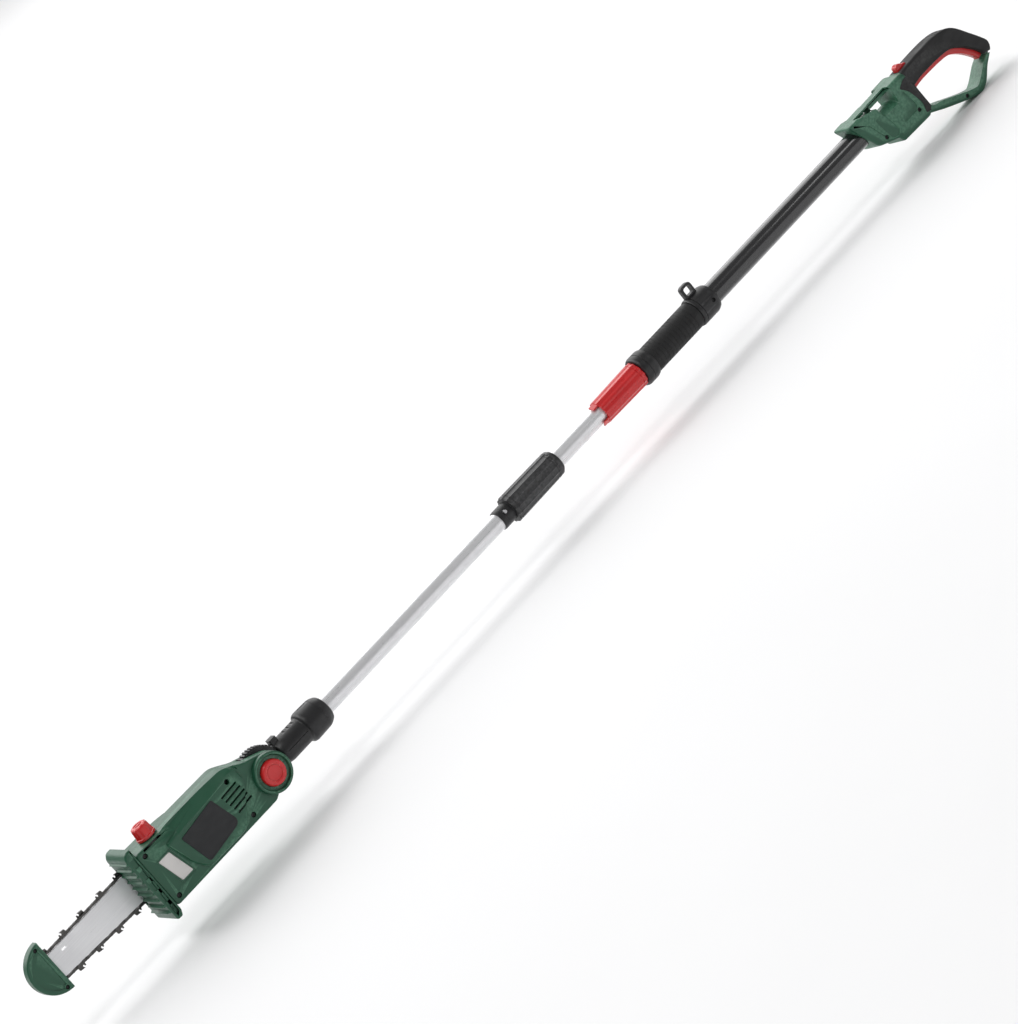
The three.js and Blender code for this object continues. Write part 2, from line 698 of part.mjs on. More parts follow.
function drive() {
  const bore = SHAFT_R + GAP;
  const rotorBore = MOTOR_SHAFT_R + GAP;
  const centre = [SPROCKET_X, 0, BAR_Z];
  const motorCentre = [motorX, 0, BAR_Z];
  add("output_shaft", rod("y", SHAFT_R, bracketY0 - 11, BAR_Y + 6, centre, 16), "steel");
  add("drive_gear", gear(GEAR_TEETH, SPROCKET_X, BAR_Z, gearY0, gearY1, bore), "grey");
  add("motor_pinion", gear(PINION_TEETH, motorX, BAR_Z, gearY0, gearY1, rotorBore), "steel");
  const points = 6;
  const star = new THREE.Shape();
  for (let i = 0; i < points * 2; i++) {
    const angle = (i / (points * 2)) * FULL_TURN;
    const radius = i % 2 ? SPROCKET_R - 4 : SPROCKET_R;
    const x = SPROCKET_X + radius * Math.cos(angle);
    const z = BAR_Z + radius * Math.sin(angle);
    if (i === 0) star.moveTo(x, z);
    else star.lineTo(x, z);
  }
  star.closePath();
  const sprocket = slab(star, BAR_Y - 3, BAR_Y + 3).subtract(rod("y", bore, 0, 60, centre, 16));
  add("drive_sprocket", sprocket, "steel");

  const innerBearing = ring("y", bore, BEARING_R - 2, bracketY0 - 6, bracketY0 - GAP, centre, 24);
  add("shaft_bearing_outer", ring("y", bore, BEARING_R, farWallY, HEAD_FAR + 2, centre, 24), "steel");
  add("shaft_bearing_inner", innerBearing, "steel");
  const plate = slab(
    outline([
      [SPROCKET_X - 14, BAR_Z - 14, 6],
      [SPROCKET_X - 14, BAR_Z + 14, 6],
      [motorX + 18, BAR_Z + 14, 6],
      [motorX + 18, BAR_Z - 14, 6],
    ]),
    bracketY0,
    bracketY1,
  );
  const bracket = plate
    .subtract(rod("y", bore + 0.4, 0, 20, centre, 16))
    .subtract(rod("y", rotorBore + GAP, 0, 20, motorCentre, 16));
  add("gear_bracket", bracket, "steel");

  const canY0 = -HEAD_NEAR + WALL + 1;
  const canY1 = bracketY0 - GAP;
  const canBore = MOTOR_R - 4.5;
  const can = turned(
    "y",
    [
      [canY0, canBore - 3.5],
      [canY0, MOTOR_R],
      [canY1, MOTOR_R],
      [canY1, rotorBore + 0.2],
      [canY1 - 2, rotorBore + 0.2],
      [canY1 - 2, canBore],
      [canY0 + 2, canBore],
      [canY0 + 2, canBore - 3.5],
      [canY0, canBore - 3.5],
    ],
    motorCentre,
  );
  add("motor_can", can, "steel");
  const rotor = rod("y", canBore - 0.7, canY0 + 3, canY1 - 3, motorCentre, 24).add(
    rod("y", MOTOR_SHAFT_R, canY0 + 1, gearY1 + 1, motorCentre, 12),
  );
  add("motor_rotor", rotor, "grey");
}

function oilSystem() {
  const tankEnd = headFront + 68;
  const tankTop = HEAD_TOP - 12;
  const tank = (inset) =>
    box(
      headFront + 19 + inset,
      tankEnd - inset,
      -HEAD_NEAR + WALL + 1.5 + inset,
      -2 - inset,
      HEAD_BOTTOM + 16 + inset,
      tankTop - inset,
    );
  const mouth = [filler.x, filler.y, 0];
  const neckTop = HEAD_TOP + 4;
  const filled = tank(0)
    .add(rod("z", FILLER_R, tankTop - 1, neckTop, mouth, 24))
    .subtract(tank(1.5))
    .subtract(rod("z", FILLER_R - 2, tankTop - 4, neckTop + 1, mouth, 24));
  add("oil_tank", filled, "clear");
  const pumpX = tankEnd + 4;
  const pumpZ = HEAD_BOTTOM + 6;
  const pump = box(pumpX, pumpX + 16, -HEAD_NEAR + 6, -2, pumpZ, pumpZ + 20);
  const plunger = rod("y", 5, -3, bracketY0 + 1, [pumpX + 8, 0, pumpZ + 10], 14);
  add("oil_pump", pump.add(plunger), "grey");
  const capBase = HEAD_TOP + GAP + 0.4;
  const capTop = capBase + CAP_HEIGHT;
  const knurls = 10;
  const shape = new THREE.Shape();
  for (let i = 0; i < knurls * 2; i++) {
    const angle = (i / (knurls * 2)) * FULL_TURN;
    const radius = i % 2 ? CAP_R : CAP_R - 1.4;
    const x = Math.cos(angle) * radius;
    const y = Math.sin(angle) * radius;
    if (i === 0) shape.moveTo(x, y);
    else shape.lineTo(x, y);
  }
  shape.closePath();
  const body = new THREE.ExtrudeGeometry(shape, {
    depth: capTop - capBase - 2,
    bevelEnabled: true,
    bevelThickness: 2,
    bevelSize: 2,
    bevelOffset: -2,
    bevelSegments: 1,
  });
  body.translate(filler.x, filler.y, capBase);
  const cap = solid(body)
    .intersect(box(-400, 0, -80, 80, capBase, 120))
    .subtract(rod("z", FILLER_R + GAP, 0, neckTop + GAP, mouth, 24));
  add("oil_cap", cap, "red");
}

// ---------------------------------------------------------------- tilt joint and neck

function tiltJoint() {
  const face = bossY - BUTTON_TRAVEL;
  const back = -HEAD_NEAR + 1 - BUTTON_TRAVEL;
  const button = turned("y", [
    [face, 0],
    [face + 1, BUTTON_R - 4],
    [face + 3, BUTTON_R - 1],
    [face + 5, BUTTON_R],
    [back, BUTTON_R],
    [back, 0],
  ]);
  add("tilt_button", button, "red");
  const spring = ring("y", SPRING_R - 2, SPRING_R, back + GAP, springSeatY - GAP, [0, 0, 0], 20);
  add("button_spring", spring, "steel");
  const pin = rod("y", PIVOT_PIN_R, springSeatY + 1, HEAD_FAR + 2, [0, 0, 0], 20).add(
    rod("y", PIN_HEAD_R, HEAD_FAR + GAP, HEAD_FAR + 3.5, [0, 0, 0], 24),
  );
  add("pivot_pin", pin, "steel");
}

function neck() {
  const half = TILT_DISC_THICK / 2;
  const teeth = 13;
  const spread = 8; // degrees between teeth
  const rim = [];
  for (let i = 0; i < teeth; i++) {
    const angle = 118 - i * spread;
    rim.push(...arcPoints(0, 0, TILT_DISC_R, angle, angle - spread / 2, 1));
    rim.push(...arcPoints(0, 0, TILT_DISC_R - 3, angle - spread / 2 - 1, angle - spread + 1, 1));
  }
  const disc = slab(
    outline([
      ...rim,
      [TILT_DISC_R + 4, 16],
      [TILT_DISC_R + 4, -16],
      ...arcPoints(0, 0, TILT_DISC_R - 3, -28, -240, 14),
    ]),
    -half,
    half,
  );
  const barrel = turned("x", [
    [NECK_START, 0],
    [NECK_START, NECK_R - 4],
    [NECK_START + 4, NECK_R - 1],
    [NECK_START + 12, NECK_R],
    [neckCollarX - 2, NECK_R],
    [neckCollarX - 2, NECK_COLLAR_R - 3],
    [neckCollarX + 2, NECK_COLLAR_R],
    [neckEndX - 8, NECK_COLLAR_R - 1],
    [neckEndX - 2, NECK_COLLAR_R - 4],
    [neckEndX, NECK_COLLAR_R - 7],
    [neckEndX, 0],
  ]);
  const stop = box(NECK_START, NECK_START + 12, -7, 7, 14, NECK_R + 6);
  const made = disc
    .add(barrel)
    .add(stop)
    .subtract(rod("x", TUBE_R + GAP, neckEndX - TUBE_SEAT - GAP, neckEndX + 1))
    .subtract(rod("x", 5, NECK_START + 20, neckEndX, [0, 0, 0], 16))
    .subtract(rod("y", PIVOT_PIN_R + GAP, -60, 60, [0, 0, 0], 20));
  add("neck", made, "black");
}

// ---------------------------------------------------------------- pole

// The joint between the two pole stages: socket and plug, drawn together by the nut.
function coupling() {
  const tubeFit = TUBE_R + GAP;
  const throatR = TUBE_R + 2;
  const socket = turned("x", [
    [couplingX, tubeFit],
    [couplingX, throatR - 0.8],
    [couplingX + 2, throatR],
    [nutX + NUT_LIP + GAP, throatR],
    [nutX + NUT_LIP + GAP, sleeveR],
    [plugX - GAP, sleeveR],
    [plugX - GAP, 9],
    [socketTubeEnd + GAP, 9],
    [socketTubeEnd + GAP, tubeFit],
    [couplingX, tubeFit],
  ]);
  const pinX = couplingX + COUPLING_THROAT / 2;
  const pinR = 2.6;
  const pinSpot = [pinX, 0, 8];
  const pinHole = rod("y", pinR + GAP, -2 * TUBE_R, -TUBE_R * 0.7, pinSpot, 12);
  add("coupling_socket", socket.subtract(pinHole), "black");
  const pin = rod("y", pinR, -throatR - 0.5, -TUBE_R + 1.5, pinSpot, 12);
  add("coupling_pin", pin.subtract(rod("x", tubeFit, pinX - 10, pinX + 10)), "steel");
  const plugEnd = nutEndX - NUT_LIP - 1;
  const plug = turned("x", [
    [plugX, CABLE_R],
    [plugX, sleeveR],
    [plugEnd, sleeveR],
    [plugEnd, tubeFit],
    [plugX + PLUG_FLOOR, tubeFit],
    [plugX + PLUG_FLOOR, CABLE_R],
    [plugX, CABLE_R],
  ]);
  add("coupling_plug", plug, "grey");
  const nutBore = rod("x", sleeveR + GAP, nutX + NUT_LIP, nutEndX - NUT_LIP);
  const nut = ribbed(nutX, nutEndX - 6, nutR, nutR - 1, throatR + GAP, 14, 1.2)
    .add(ring("x", tubeFit, nutR - 1.5, nutEndX - 8, nutEndX - 3))
    .add(ring("x", tubeFit, nutR - 4, nutEndX - 4, nutEndX))
    .subtract(nutBore);
  add("coupling_nut", nut, "black");
}

// The three tubes, the bush and the coiled cable that run inside them.
function tubes() {
  const tubeFit = TUBE_R + GAP;
  const upperX = plugX + PLUG_FLOOR + GAP;
  add("lower_tube", ring("x", tubeBore, TUBE_R, neckEndX - TUBE_SEAT, socketTubeEnd), "silver");
  add("upper_tube", ring("x", tubeBore, TUBE_R, upperX, tubeEndX), "silver");
  const bush = ring("x", tubeFit, outerBore - GAP, tubeEndX - BUSH_LENGTH, tubeEndX);
  add("guide_bush", bush, "grey");
  add("outer_tube", ring("x", outerBore, outerTubeR, outerTubeX, handleTubeX), "black");
  const cable = ring("x", CABLE_R, tubeBore - 0.4, tubeEndX + 6, handleTubeX - 4, [0, 0, 0], 16);
  add("coil_cable", cable, "black");
}

// The twist lock: a split collet on the telescoping tube inside a fluted sleeve.
function twistLock() {
  const tubeFit = TUBE_R + GAP;
  const collet = turned("x", [
    [lockX + 8, tubeFit],
    [lockX + 8, TUBE_R + 1.6],
    [lockX + 14, outerTubeR],
    [outerTubeX - GAP, outerTubeR],
    [outerTubeX - GAP, tubeFit],
    [lockX + 8, tubeFit],
  ]);
  const split = box(lockX, outerTubeX - 8, -1, 1, 0, 2 * outerTubeR);
  add("clamp_collet", collet.subtract(split), "grey");

  const lockBore = outerTubeR + 0.6;
  let sleeve = ribbed(lockX, lockEndX - GAP, TUBE_R + 6, outerTubeR + 4, TUBE_R + 1, 12, 1.2);
  const colletRoom = turned("x", [
    [lockX + 7, 0],
    [lockX + 7, TUBE_R + 2.4],
    [lockX + 13, lockBore],
    [lockEndX + 1, lockBore],
    [lockEndX + 1, 0],
  ]);
  const ears = 3;
  for (let i = 0; i < ears; i++) {
    const ear = box(lockX - 10, lockX + 4, -6, 6, TUBE_R + 1.2, TUBE_R + 3.8);
    sleeve = sleeve.add(ear.rotate([(i * 360) / ears + 20, 0, 0]));
  }
  add("lock_sleeve", sleeve.subtract(colletRoom), "red");
}

function foreGrip() {
  const collarR = gripR + 3;
  const collar = turned("x", [
    [lockEndX, gripBore],
    [lockEndX, collarR - 2.5],
    [lockEndX + 3, collarR],
    [frontGripX - 5, collarR],
    [frontGripX - GAP, collarR - 1.5],
    [frontGripX - GAP, gripBore],
    [lockEndX, gripBore],
  ]);
  add("front_collar", collar, "black");
  add("front_grip", ring("x", gripBore, gripR, frontGripX, rearCollarX - GAP), "black");
}

// The collar behind the front grip, with an upright eye for a carrying strap.
function strapCollar() {
  const collarR = gripR + 2;
  const ringBody = turned("x", [
    [rearCollarX, gripBore],
    [rearCollarX, collarR - 1],
    [rearCollarX + 3, collarR],
    [outerBareX - 8, collarR],
    [outerBareX - 2, collarR - 2],
    [outerBareX, collarR - 4],
    [outerBareX, gripBore],
    [rearCollarX, gripBore],
  ]);
  const eyeX = rearCollarX + 14;
  const top = collarR + EYE_HEIGHT;
  const eye = slab(
    outline([
      [eyeX - 9, collarR - 4],
      [eyeX - 9, top, 6],
      [eyeX + 13, top, 6],
      [eyeX + 13, collarR - 4],
    ]),
    -EYE_THICK / 2,
    EYE_THICK / 2,
    1,
  );
  const hole = slab(
    outline([
      [eyeX - 5, collarR + 2, 3],
      [eyeX - 5, top - 4, 3],
      [eyeX + 9, top - 4, 3],
      [eyeX + 9, collarR + 2, 3],
    ]),
    -EYE_THICK,
    EYE_THICK,
  );
  const clampScrew = [outerBareX - 13, 0, -collarR + 1.2, 1.6, 1.6];
  const made = ringBody
    .add(eye.subtract(rod("x", outerTubeR + 2, rearCollarX, outerBareX)))
    .subtract(hole)
    .subtract(screwHole(...clampScrew));
  add("rear_collar", made, "black");
  add("strap_screw", screw(...clampScrew), "steel");
}

// ---------------------------------------------------------------- handle

// Outer edge of the D from the top of the grip round the back to the underside of the arm, as
// [distance behind the housing's rear face, height].
const D_OUTER = [
  [-6, 28],
  [22, 30],
  [54, 31],
  [87, 30],
  [112, 25],
  [128, 14],
  [144, -8],
  [157, -27],
  [163, -40],
  [157, -53],
  [136, -68],
  [119, -83],
  [104, -90],
  [86, -88],
  [61, -79],
  [27, -65],
];

// Inner edge of the D, along the bottom of the trigger and round to the front.
const D_INNER = [
  [6, -3],
  [34, 0],
  [85, -2],
  [107, -9],
  [128, -26],
  [144, -50],
  [130, -60],
  [104, -76],
  [92, -77],
  [68, -68],
  [34, -53],
  [8, -42],
];
const GRIP_POINTS = 10; // the soft grip covers the outer edge up to this point
const TRIGGER_POINTS = 6; // the trigger's groove follows the inner edge up to this point

const housingEndX = handleX + HANDLE_BODY;
const at = (points) => points.map(([d, z]) => [housingEndX + d, z]);
const mouthTop = outerTubeR + 7.5;
const mouthBottom = -outerTubeR - 9.5;

// The housing's underside: the slope from the mouth and the step down to the battery dock.
const belly = (inset) => [
  [handleX + 48 + inset, -51 + inset],
  [handleX + 44 + inset, -42 + inset],
  [handleX + 6 + inset, mouthBottom + inset],
];

function housingOutline(inset) {
  return outline([
    [handleX + 2 - MOUTH_LEAN + inset, mouthTop + 5 - inset],
    [housingEndX - inset, 31 - inset, 12],
    [housingEndX - inset, -53 + inset, 10],
    ...belly(inset),
  ]);
}

function handleOutline() {
  return outline([[handleX, mouthTop - 1], ...at(D_OUTER), [housingEndX + 2, -53], ...belly(0)]);
}

const hangSlot = { x0: handleX + 40, x1: handleX + 80, z0: 7, z1: 21.5 };
const BRIDGE_HALF = 9; // half width of the strap of housing over the hang slot
const MOUTH_LEAN = 22; // how far the mouth's upper rim stands in front of its lower one
const armScrewX = housingEndX + 72;
const handleScrewSpots = [
  [handleX + 24, mouthBottom + 3],
  [housingEndX - 18, -32],
  [armScrewX, -77],
];
const screwHeadY = (x) => (x > housingEndX ? -GRIP_HALF + 1 : -HANDLE_HALF + 1);
const handleScrew = ([x, z]) => [x, z, screwHeadY(x), HANDLE_SCREW_R, 6 - screwHeadY(x)];

// The upper member of the D between its outer and inner edge, drawn in by inset; further adds
// points at its rear end.
function gripMember(inset, further = 0) {
  const outer = offsetLine(D_OUTER.slice(0, GRIP_POINTS + further), inset);
  const inner = offsetLine(D_INNER.slice(0, TRIGGER_POINTS + further), -inset);
  return outline(at([...outer, ...inner.reverse()]));
}

// A strip along the D's inner edge, between a depth below it and a height above it.
function triggerOutline(below, above) {
  const edge = D_INNER.slice(0, TRIGGER_POINTS);
  return outline(at([...offsetLine(edge, below), ...offsetLine(edge, -above).reverse()]));
}

const triggerGroove = slab(
  triggerOutline(TRIGGER_THICK + GAP, TRIGGER_ROOM + GAP),
  -TRIGGER_HALF - 0.5,
  TRIGGER_HALF + 0.5,
);

const lockOffRoom = box(
  housingEndX + 3,
  housingEndX + 25,
  -LOCK_OFF_HALF - LOCK_OFF_ROOM,
  LOCK_OFF_HALF + LOCK_OFF_ROOM,
  12,
  60,
);

// The D's frame: the lower arm, and a core that the soft grip is moulded on.
function dFrame(cavity) {
  const hole = slab(outline(at(D_INNER)), -60, 60);
  const whole = slab(handleOutline(), -GRIP_HALF, GRIP_HALF, 4);
  const bandCut = slab(gripMember(-6), -60, 60);
  const band = bandCut.add(bandCut.translate([-2 * GAP, 0, -3 * GAP]));
  const behind = box(housingEndX + GAP, housingEndX + 300, -60, 60, -120, 60);
  const coreHalf = GRIP_HALF - GRIP_SKIN - GAP;
  const core = slab(gripMember(GRIP_SKIN + GAP, 1), -coreHalf, coreHalf);
  const frame = whole.subtract(hole).subtract(band.intersect(behind)).add(core.intersect(whole));
  const rearWall = box(housingEndX - 6, housingEndX + 300, -60, 60, -80, 60);
  return frame.subtract(cavity.subtract(rearWall));
}

function handleShells() {
  const housing = slab(housingOutline(0), -HANDLE_HALF, HANDLE_HALF, 4);
  const cavity = slab(housingOutline(WALL), -HANDLE_HALF + WALL, HANDLE_HALF - WALL);
  const slotWall = box(
    hangSlot.x0 - WALL,
    hangSlot.x1 + WALL,
    -HANDLE_HALF,
    HANDLE_HALF,
    hangSlot.z0 - WALL,
    30,
  );
  const bridge = box(handleX, housingEndX, -BRIDGE_HALF, BRIDGE_HALF, hangSlot.z1, 60);
  const notch = box(hangSlot.x0, hangSlot.x1, -60, 60, hangSlot.z0, 60).subtract(bridge);
  const throat = ring("x", gripBore, gripBore + WALL, handleX, handleTubeX + 2);
  const around = slab(handleOutline(), -60, 60).add(housing);
  let body = housing.subtract(cavity).add(slotWall.intersect(housing)).add(dFrame(cavity));
  handleScrewSpots.forEach(([x, z]) => {
    body = body.add(rod("y", 4.5, -14, 14, [x, 0, z], 12).intersect(around));
  });
  body = body
    .add(throat.intersect(housing))
    .subtract(rod("x", gripBore, handleX - 2 * MOUTH_LEAN, handleTubeX + GAP))
    .subtract(notch)
    .subtract(box(handleX + DOCK_START - 1, housingEndX - WALL - 2, -dockHole, dockHole, -60, -35))
    .subtract(triggerGroove)
    .subtract(lockOffRoom);
  handleScrewSpots.forEach((spot) => {
    body = body.subtract(screwHole(...handleScrew(spot)));
  });
  const side = (y0, y1) => largest(body.intersect(box(handleX - 50, handleX + 500, y0, y1, -120, 80)));
  add("handle_shell_near", side(-80, -GAP / 2), "green");
  add("handle_shell_far", side(GAP / 2, 80), "green");
  handleScrewSpots.forEach((spot, i) => {
    add(`handle_screw_${i + 1}`, screw(...handleScrew(spot)), "steel");
  });
}

// Drops slivers left by a cut: the piece itself is by far the largest part.
function largest(made) {
  return made.decompose().sort((a, b) => b.volume() - a.volume())[0];
}

function softGrip() {
  const behind = box(housingEndX + 2 * GAP, housingEndX + 300, -60, 60, -120, 60);
  const skin = slab(gripMember(0), -GRIP_HALF - 1, GRIP_HALF + 1, 4).intersect(behind);
  const half = GRIP_HALF - GRIP_SKIN;
  const inner = slab(gripMember(GRIP_SKIN, 1), -half, half);
  const made = skin.subtract(inner).subtract(triggerGroove).subtract(lockOffRoom);
  add("soft_grip", largest(made), "black");
}

function controls() {
  const trigger = slab(triggerOutline(TRIGGER_THICK, TRIGGER_ROOT), -TRIGGER_HALF, TRIGGER_HALF, 1);
  add("trigger", trigger, "red");
  const side = outline([
    [housingEndX + 4, 20],
    [housingEndX + 4, 37, 3],
    [housingEndX + 14, 39, 3],
    [housingEndX + 24, 33, 2],
    [housingEndX + 24, 20],
  ]);
  add("lock_off", slab(side, -LOCK_OFF_HALF, LOCK_OFF_HALF, 1), "red");
  add("switch_body", box(housingEndX - 30, housingEndX - 8, -8, 8, -14, 6), "grey");
  add("control_board", box(handleX + 50, housingEndX - 34, -14, 14, -34, -31), "green");
}

// The dock that a battery slides on to, open to the rear and below.
const dockHole = DOCK_HALF + 0.5;
function batteryDock() {
  const contactEnd = handleX + DOCK_START + CONTACT_LENGTH;
  const x0 = contactEnd + GAP;
  const x1 = housingEndX - WALL - 3;
  const rail = 3;
  const deck = box(x0, x1, -DOCK_HALF, DOCK_HALF, -44, -40.5);
  const rails = deck
    .add(box(x0, x1, -DOCK_HALF, -DOCK_HALF + rail, -52, -43.9))
    .add(box(x0, x1, DOCK_HALF - rail, DOCK_HALF, -52, -43.9));
  add("battery_rails", rails, "black");
  add("contact_block", box(handleX + DOCK_START, contactEnd, -9, 9, -50, -36), "grey");
}

// ---------------------------------------------------------------- assembly

headShells();
headTrim();
bumperFlange();
chainCover();
barAndChain();
noseGuard();
drive();
oilSystem();
tiltJoint();
neck();
coupling();
tubes();
twistLock();
foreGrip();
strapCollar();
handleShells();
softGrip();
controls();
batteryDock();

const bounds = new THREE.Box3().setFromObject(saw);
const middle = bounds.getCenter(new THREE.Vector3());
saw.children.forEach((mesh) => mesh.position.set(-middle.x, -middle.y, -bounds.min.z));

export default saw;
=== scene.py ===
"""The looks of the telescoping pole saw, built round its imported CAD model.

Shapes are worked out in millimetres in the pole's own frame: the pole axis runs along X at
y = 0, z = 0, the head's tilt pivot is at x = 0, the bar points to -X and the handle to +X.
The -Y side is called near and the +Y side far.
"""

import json
import math

import bmesh
import bpy
from mathutils import Matrix, Vector


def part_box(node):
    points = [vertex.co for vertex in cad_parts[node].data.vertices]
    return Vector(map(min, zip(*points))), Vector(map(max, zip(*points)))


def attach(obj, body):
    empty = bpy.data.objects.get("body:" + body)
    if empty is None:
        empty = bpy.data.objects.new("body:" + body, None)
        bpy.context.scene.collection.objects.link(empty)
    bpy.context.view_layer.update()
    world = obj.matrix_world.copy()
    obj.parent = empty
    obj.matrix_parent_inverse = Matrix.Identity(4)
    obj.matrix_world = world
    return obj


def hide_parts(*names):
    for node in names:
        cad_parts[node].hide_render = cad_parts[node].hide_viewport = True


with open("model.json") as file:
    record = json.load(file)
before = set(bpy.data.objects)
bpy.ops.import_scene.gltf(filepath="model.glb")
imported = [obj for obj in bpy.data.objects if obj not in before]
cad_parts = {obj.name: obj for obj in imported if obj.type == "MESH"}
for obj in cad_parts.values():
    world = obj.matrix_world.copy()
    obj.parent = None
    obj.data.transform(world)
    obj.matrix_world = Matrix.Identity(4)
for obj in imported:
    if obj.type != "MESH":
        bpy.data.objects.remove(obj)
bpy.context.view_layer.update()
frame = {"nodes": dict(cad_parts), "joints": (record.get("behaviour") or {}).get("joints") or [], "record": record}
JOINTS = {joint["name"]: joint for joint in frame["joints"]}
PIVOT = Vector(JOINTS["head_tilt"]["pos_m"])
GAP = 0.3  # between pieces that touch
WALL = 2.5  # moulded housing wall
MERGE = 0.02  # points closer than this are one point
REACH = 60  # how far a cutting tool stands clear of what it cuts


def row(x, y, z):
    """A point of the pole's frame in millimetres as a point of the row frame in metres."""
    return PIVOT + Vector((x, y, z)) / 1000


def span(node):
    """The x, y and z range of a CAD node in the pole's frame: x0, x1, y0, y1, z0, z1."""
    low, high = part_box(node)
    low = (low - PIVOT) * 1000
    high = (high - PIVOT) * 1000
    return low.x, high.x, low.y, high.y, low.z, high.z


# ---------------------------------------------------------------- camera, lights and floor


def place_camera():
    azimuth = math.radians(-24)
    elevation = math.radians(16.5)
    roll = math.radians(39.583)
    distance = 5.917
    target = row(543, 0, -1.8)
    back = Vector((
        math.sin(azimuth) * math.cos(elevation), -math.cos(azimuth) * math.cos(elevation),
        math.sin(elevation),
    ))
    right = (-back).cross(Vector((0, 0, 1))).normalized()
    up = right.cross(-back)
    across = right * math.cos(roll) - up * math.sin(roll)
    upward = right * math.sin(roll) + up * math.cos(roll)
    data = bpy.data.cameras.new("camera")
    data.sensor_width = 36
    data.sensor_height = 36
    data.sensor_fit = "VERTICAL"
    data.lens = 143.93
    data.clip_end = 100
    camera = bpy.data.objects.new("camera", data)
    bpy.context.scene.collection.objects.link(camera)
    turn = Matrix((across, upward, back)).transposed().to_4x4()
    camera.matrix_world = Matrix.Translation(target + back * distance) @ turn
    bpy.context.scene.camera = camera


def area_light(name, place, aim, size, power):
    data = bpy.data.lights.new(name, "AREA")
    data.shape = "RECTANGLE"
    data.size = size[0]
    data.size_y = size[1]
    data.energy = power
    light = bpy.data.objects.new(name, data)
    light.location = place
    light.rotation_euler = (Vector(aim) - Vector(place)).to_track_quat("-Z", "Y").to_euler()
    bpy.context.scene.collection.objects.link(light)


def light_studio():
    world = bpy.data.worlds.new("studio")
    world.use_nodes = True
    background = world.node_tree.nodes["Background"]
    background.inputs["Color"].default_value = (1, 1, 1, 1)
    background.inputs["Strength"].default_value = 0.3
    bpy.context.scene.world = world
    data = bpy.data.lights.new("soft_sun", "SUN")
    data.energy = 0.9
    data.angle = math.radians(36)
    sun = bpy.data.objects.new("soft_sun", data)
    sun.rotation_euler = Vector((-0.34, 0.3, 0.9)).to_track_quat("Z", "Y").to_euler()
    bpy.context.scene.collection.objects.link(sun)
    area_light("front_left", (-2.2, -2.2, 5.2), (-0.5, 0, 0.1), (1.6, 1.6), 56)
    area_light("right_fill", (3.2, -2.6, 2.6), (0.5, 0, 0.1), (1.0, 1.0), 12)
    area_light("overhead_back", (1.5, 6.0, 5.8), (0.2, 0, 0.1), (14.0, 9.0), 760)
    bpy.context.scene.view_settings.view_transform = "Standard"


# ---------------------------------------------------------------- materials


def nodes_of(name):
    made = bpy.data.materials.new(name)
    made.use_nodes = True
    return made, made.node_tree.nodes, made.node_tree.links


def noise_node(nodes, links, scale, detail, stretch=(1, 1, 1)):
    """Noise in the piece's own coordinates, scale features to the metre."""
    place = nodes.new("ShaderNodeTexCoord")
    mapping = nodes.new("ShaderNodeMapping")
    mapping.inputs["Scale"].default_value = stretch
    links.new(place.outputs["Object"], mapping.inputs["Vector"])
    noise = nodes.new("ShaderNodeTexNoise")
    noise.inputs["Scale"].default_value = scale
    noise.inputs["Detail"].default_value = detail
    links.new(mapping.outputs["Vector"], noise.inputs["Vector"])
    return noise


def spread(nodes, links, source, low, high):
    """The noise's middle range mapped on to low to high."""
    part = nodes.new("ShaderNodeMapRange")
    part.inputs["From Min"].default_value = 0.3
    part.inputs["From Max"].default_value = 0.7
    part.inputs["To Min"].default_value = low
    part.inputs["To Max"].default_value = high
    links.new(source, part.inputs["Value"])
    return part.outputs["Result"]


def bumped(nodes, links, source, strength, depth, base=None):
    """Relief from a noise, on top of the relief in base if there is one."""
    bump = nodes.new("ShaderNodeBump")
    bump.inputs["Strength"].default_value = strength
    bump.inputs["Distance"].default_value = depth
    links.new(source, bump.inputs["Height"])
    if base:
        links.new(base, bump.inputs["Normal"])
    return bump.outputs["Normal"]


def tinted(nodes, links, factor, first, second):
    """A mix of two colours, each given as numbers or as another node's output."""
    mix = nodes.new("ShaderNodeMix")
    mix.data_type = "RGBA"
    links.new(factor, mix.inputs["Factor"])
    for socket, source in zip(("A", "B"), (first, second)):
        target = next(s for s in mix.inputs if s.name == socket and s.type == "RGBA")
        if isinstance(source, tuple):
            target.default_value = (*source, 1)
        else:
            links.new(source, target)
    return next(s for s in mix.outputs if s.type == "RGBA")


def edge_rubbing_and_painted_highlight(nodes, links, low, high):
    """0 on flat surfaces and 1 on outer edges: marks rubbed edges and a painted highlight along them."""
    geometry = nodes.new("ShaderNodeNewGeometry")
    ramp = nodes.new("ShaderNodeMapRange")
    ramp.inputs["From Min"].default_value = low
    ramp.inputs["From Max"].default_value = high
    links.new(geometry.outputs["Pointiness"], ramp.inputs["Value"])
    return ramp.outputs["Result"]


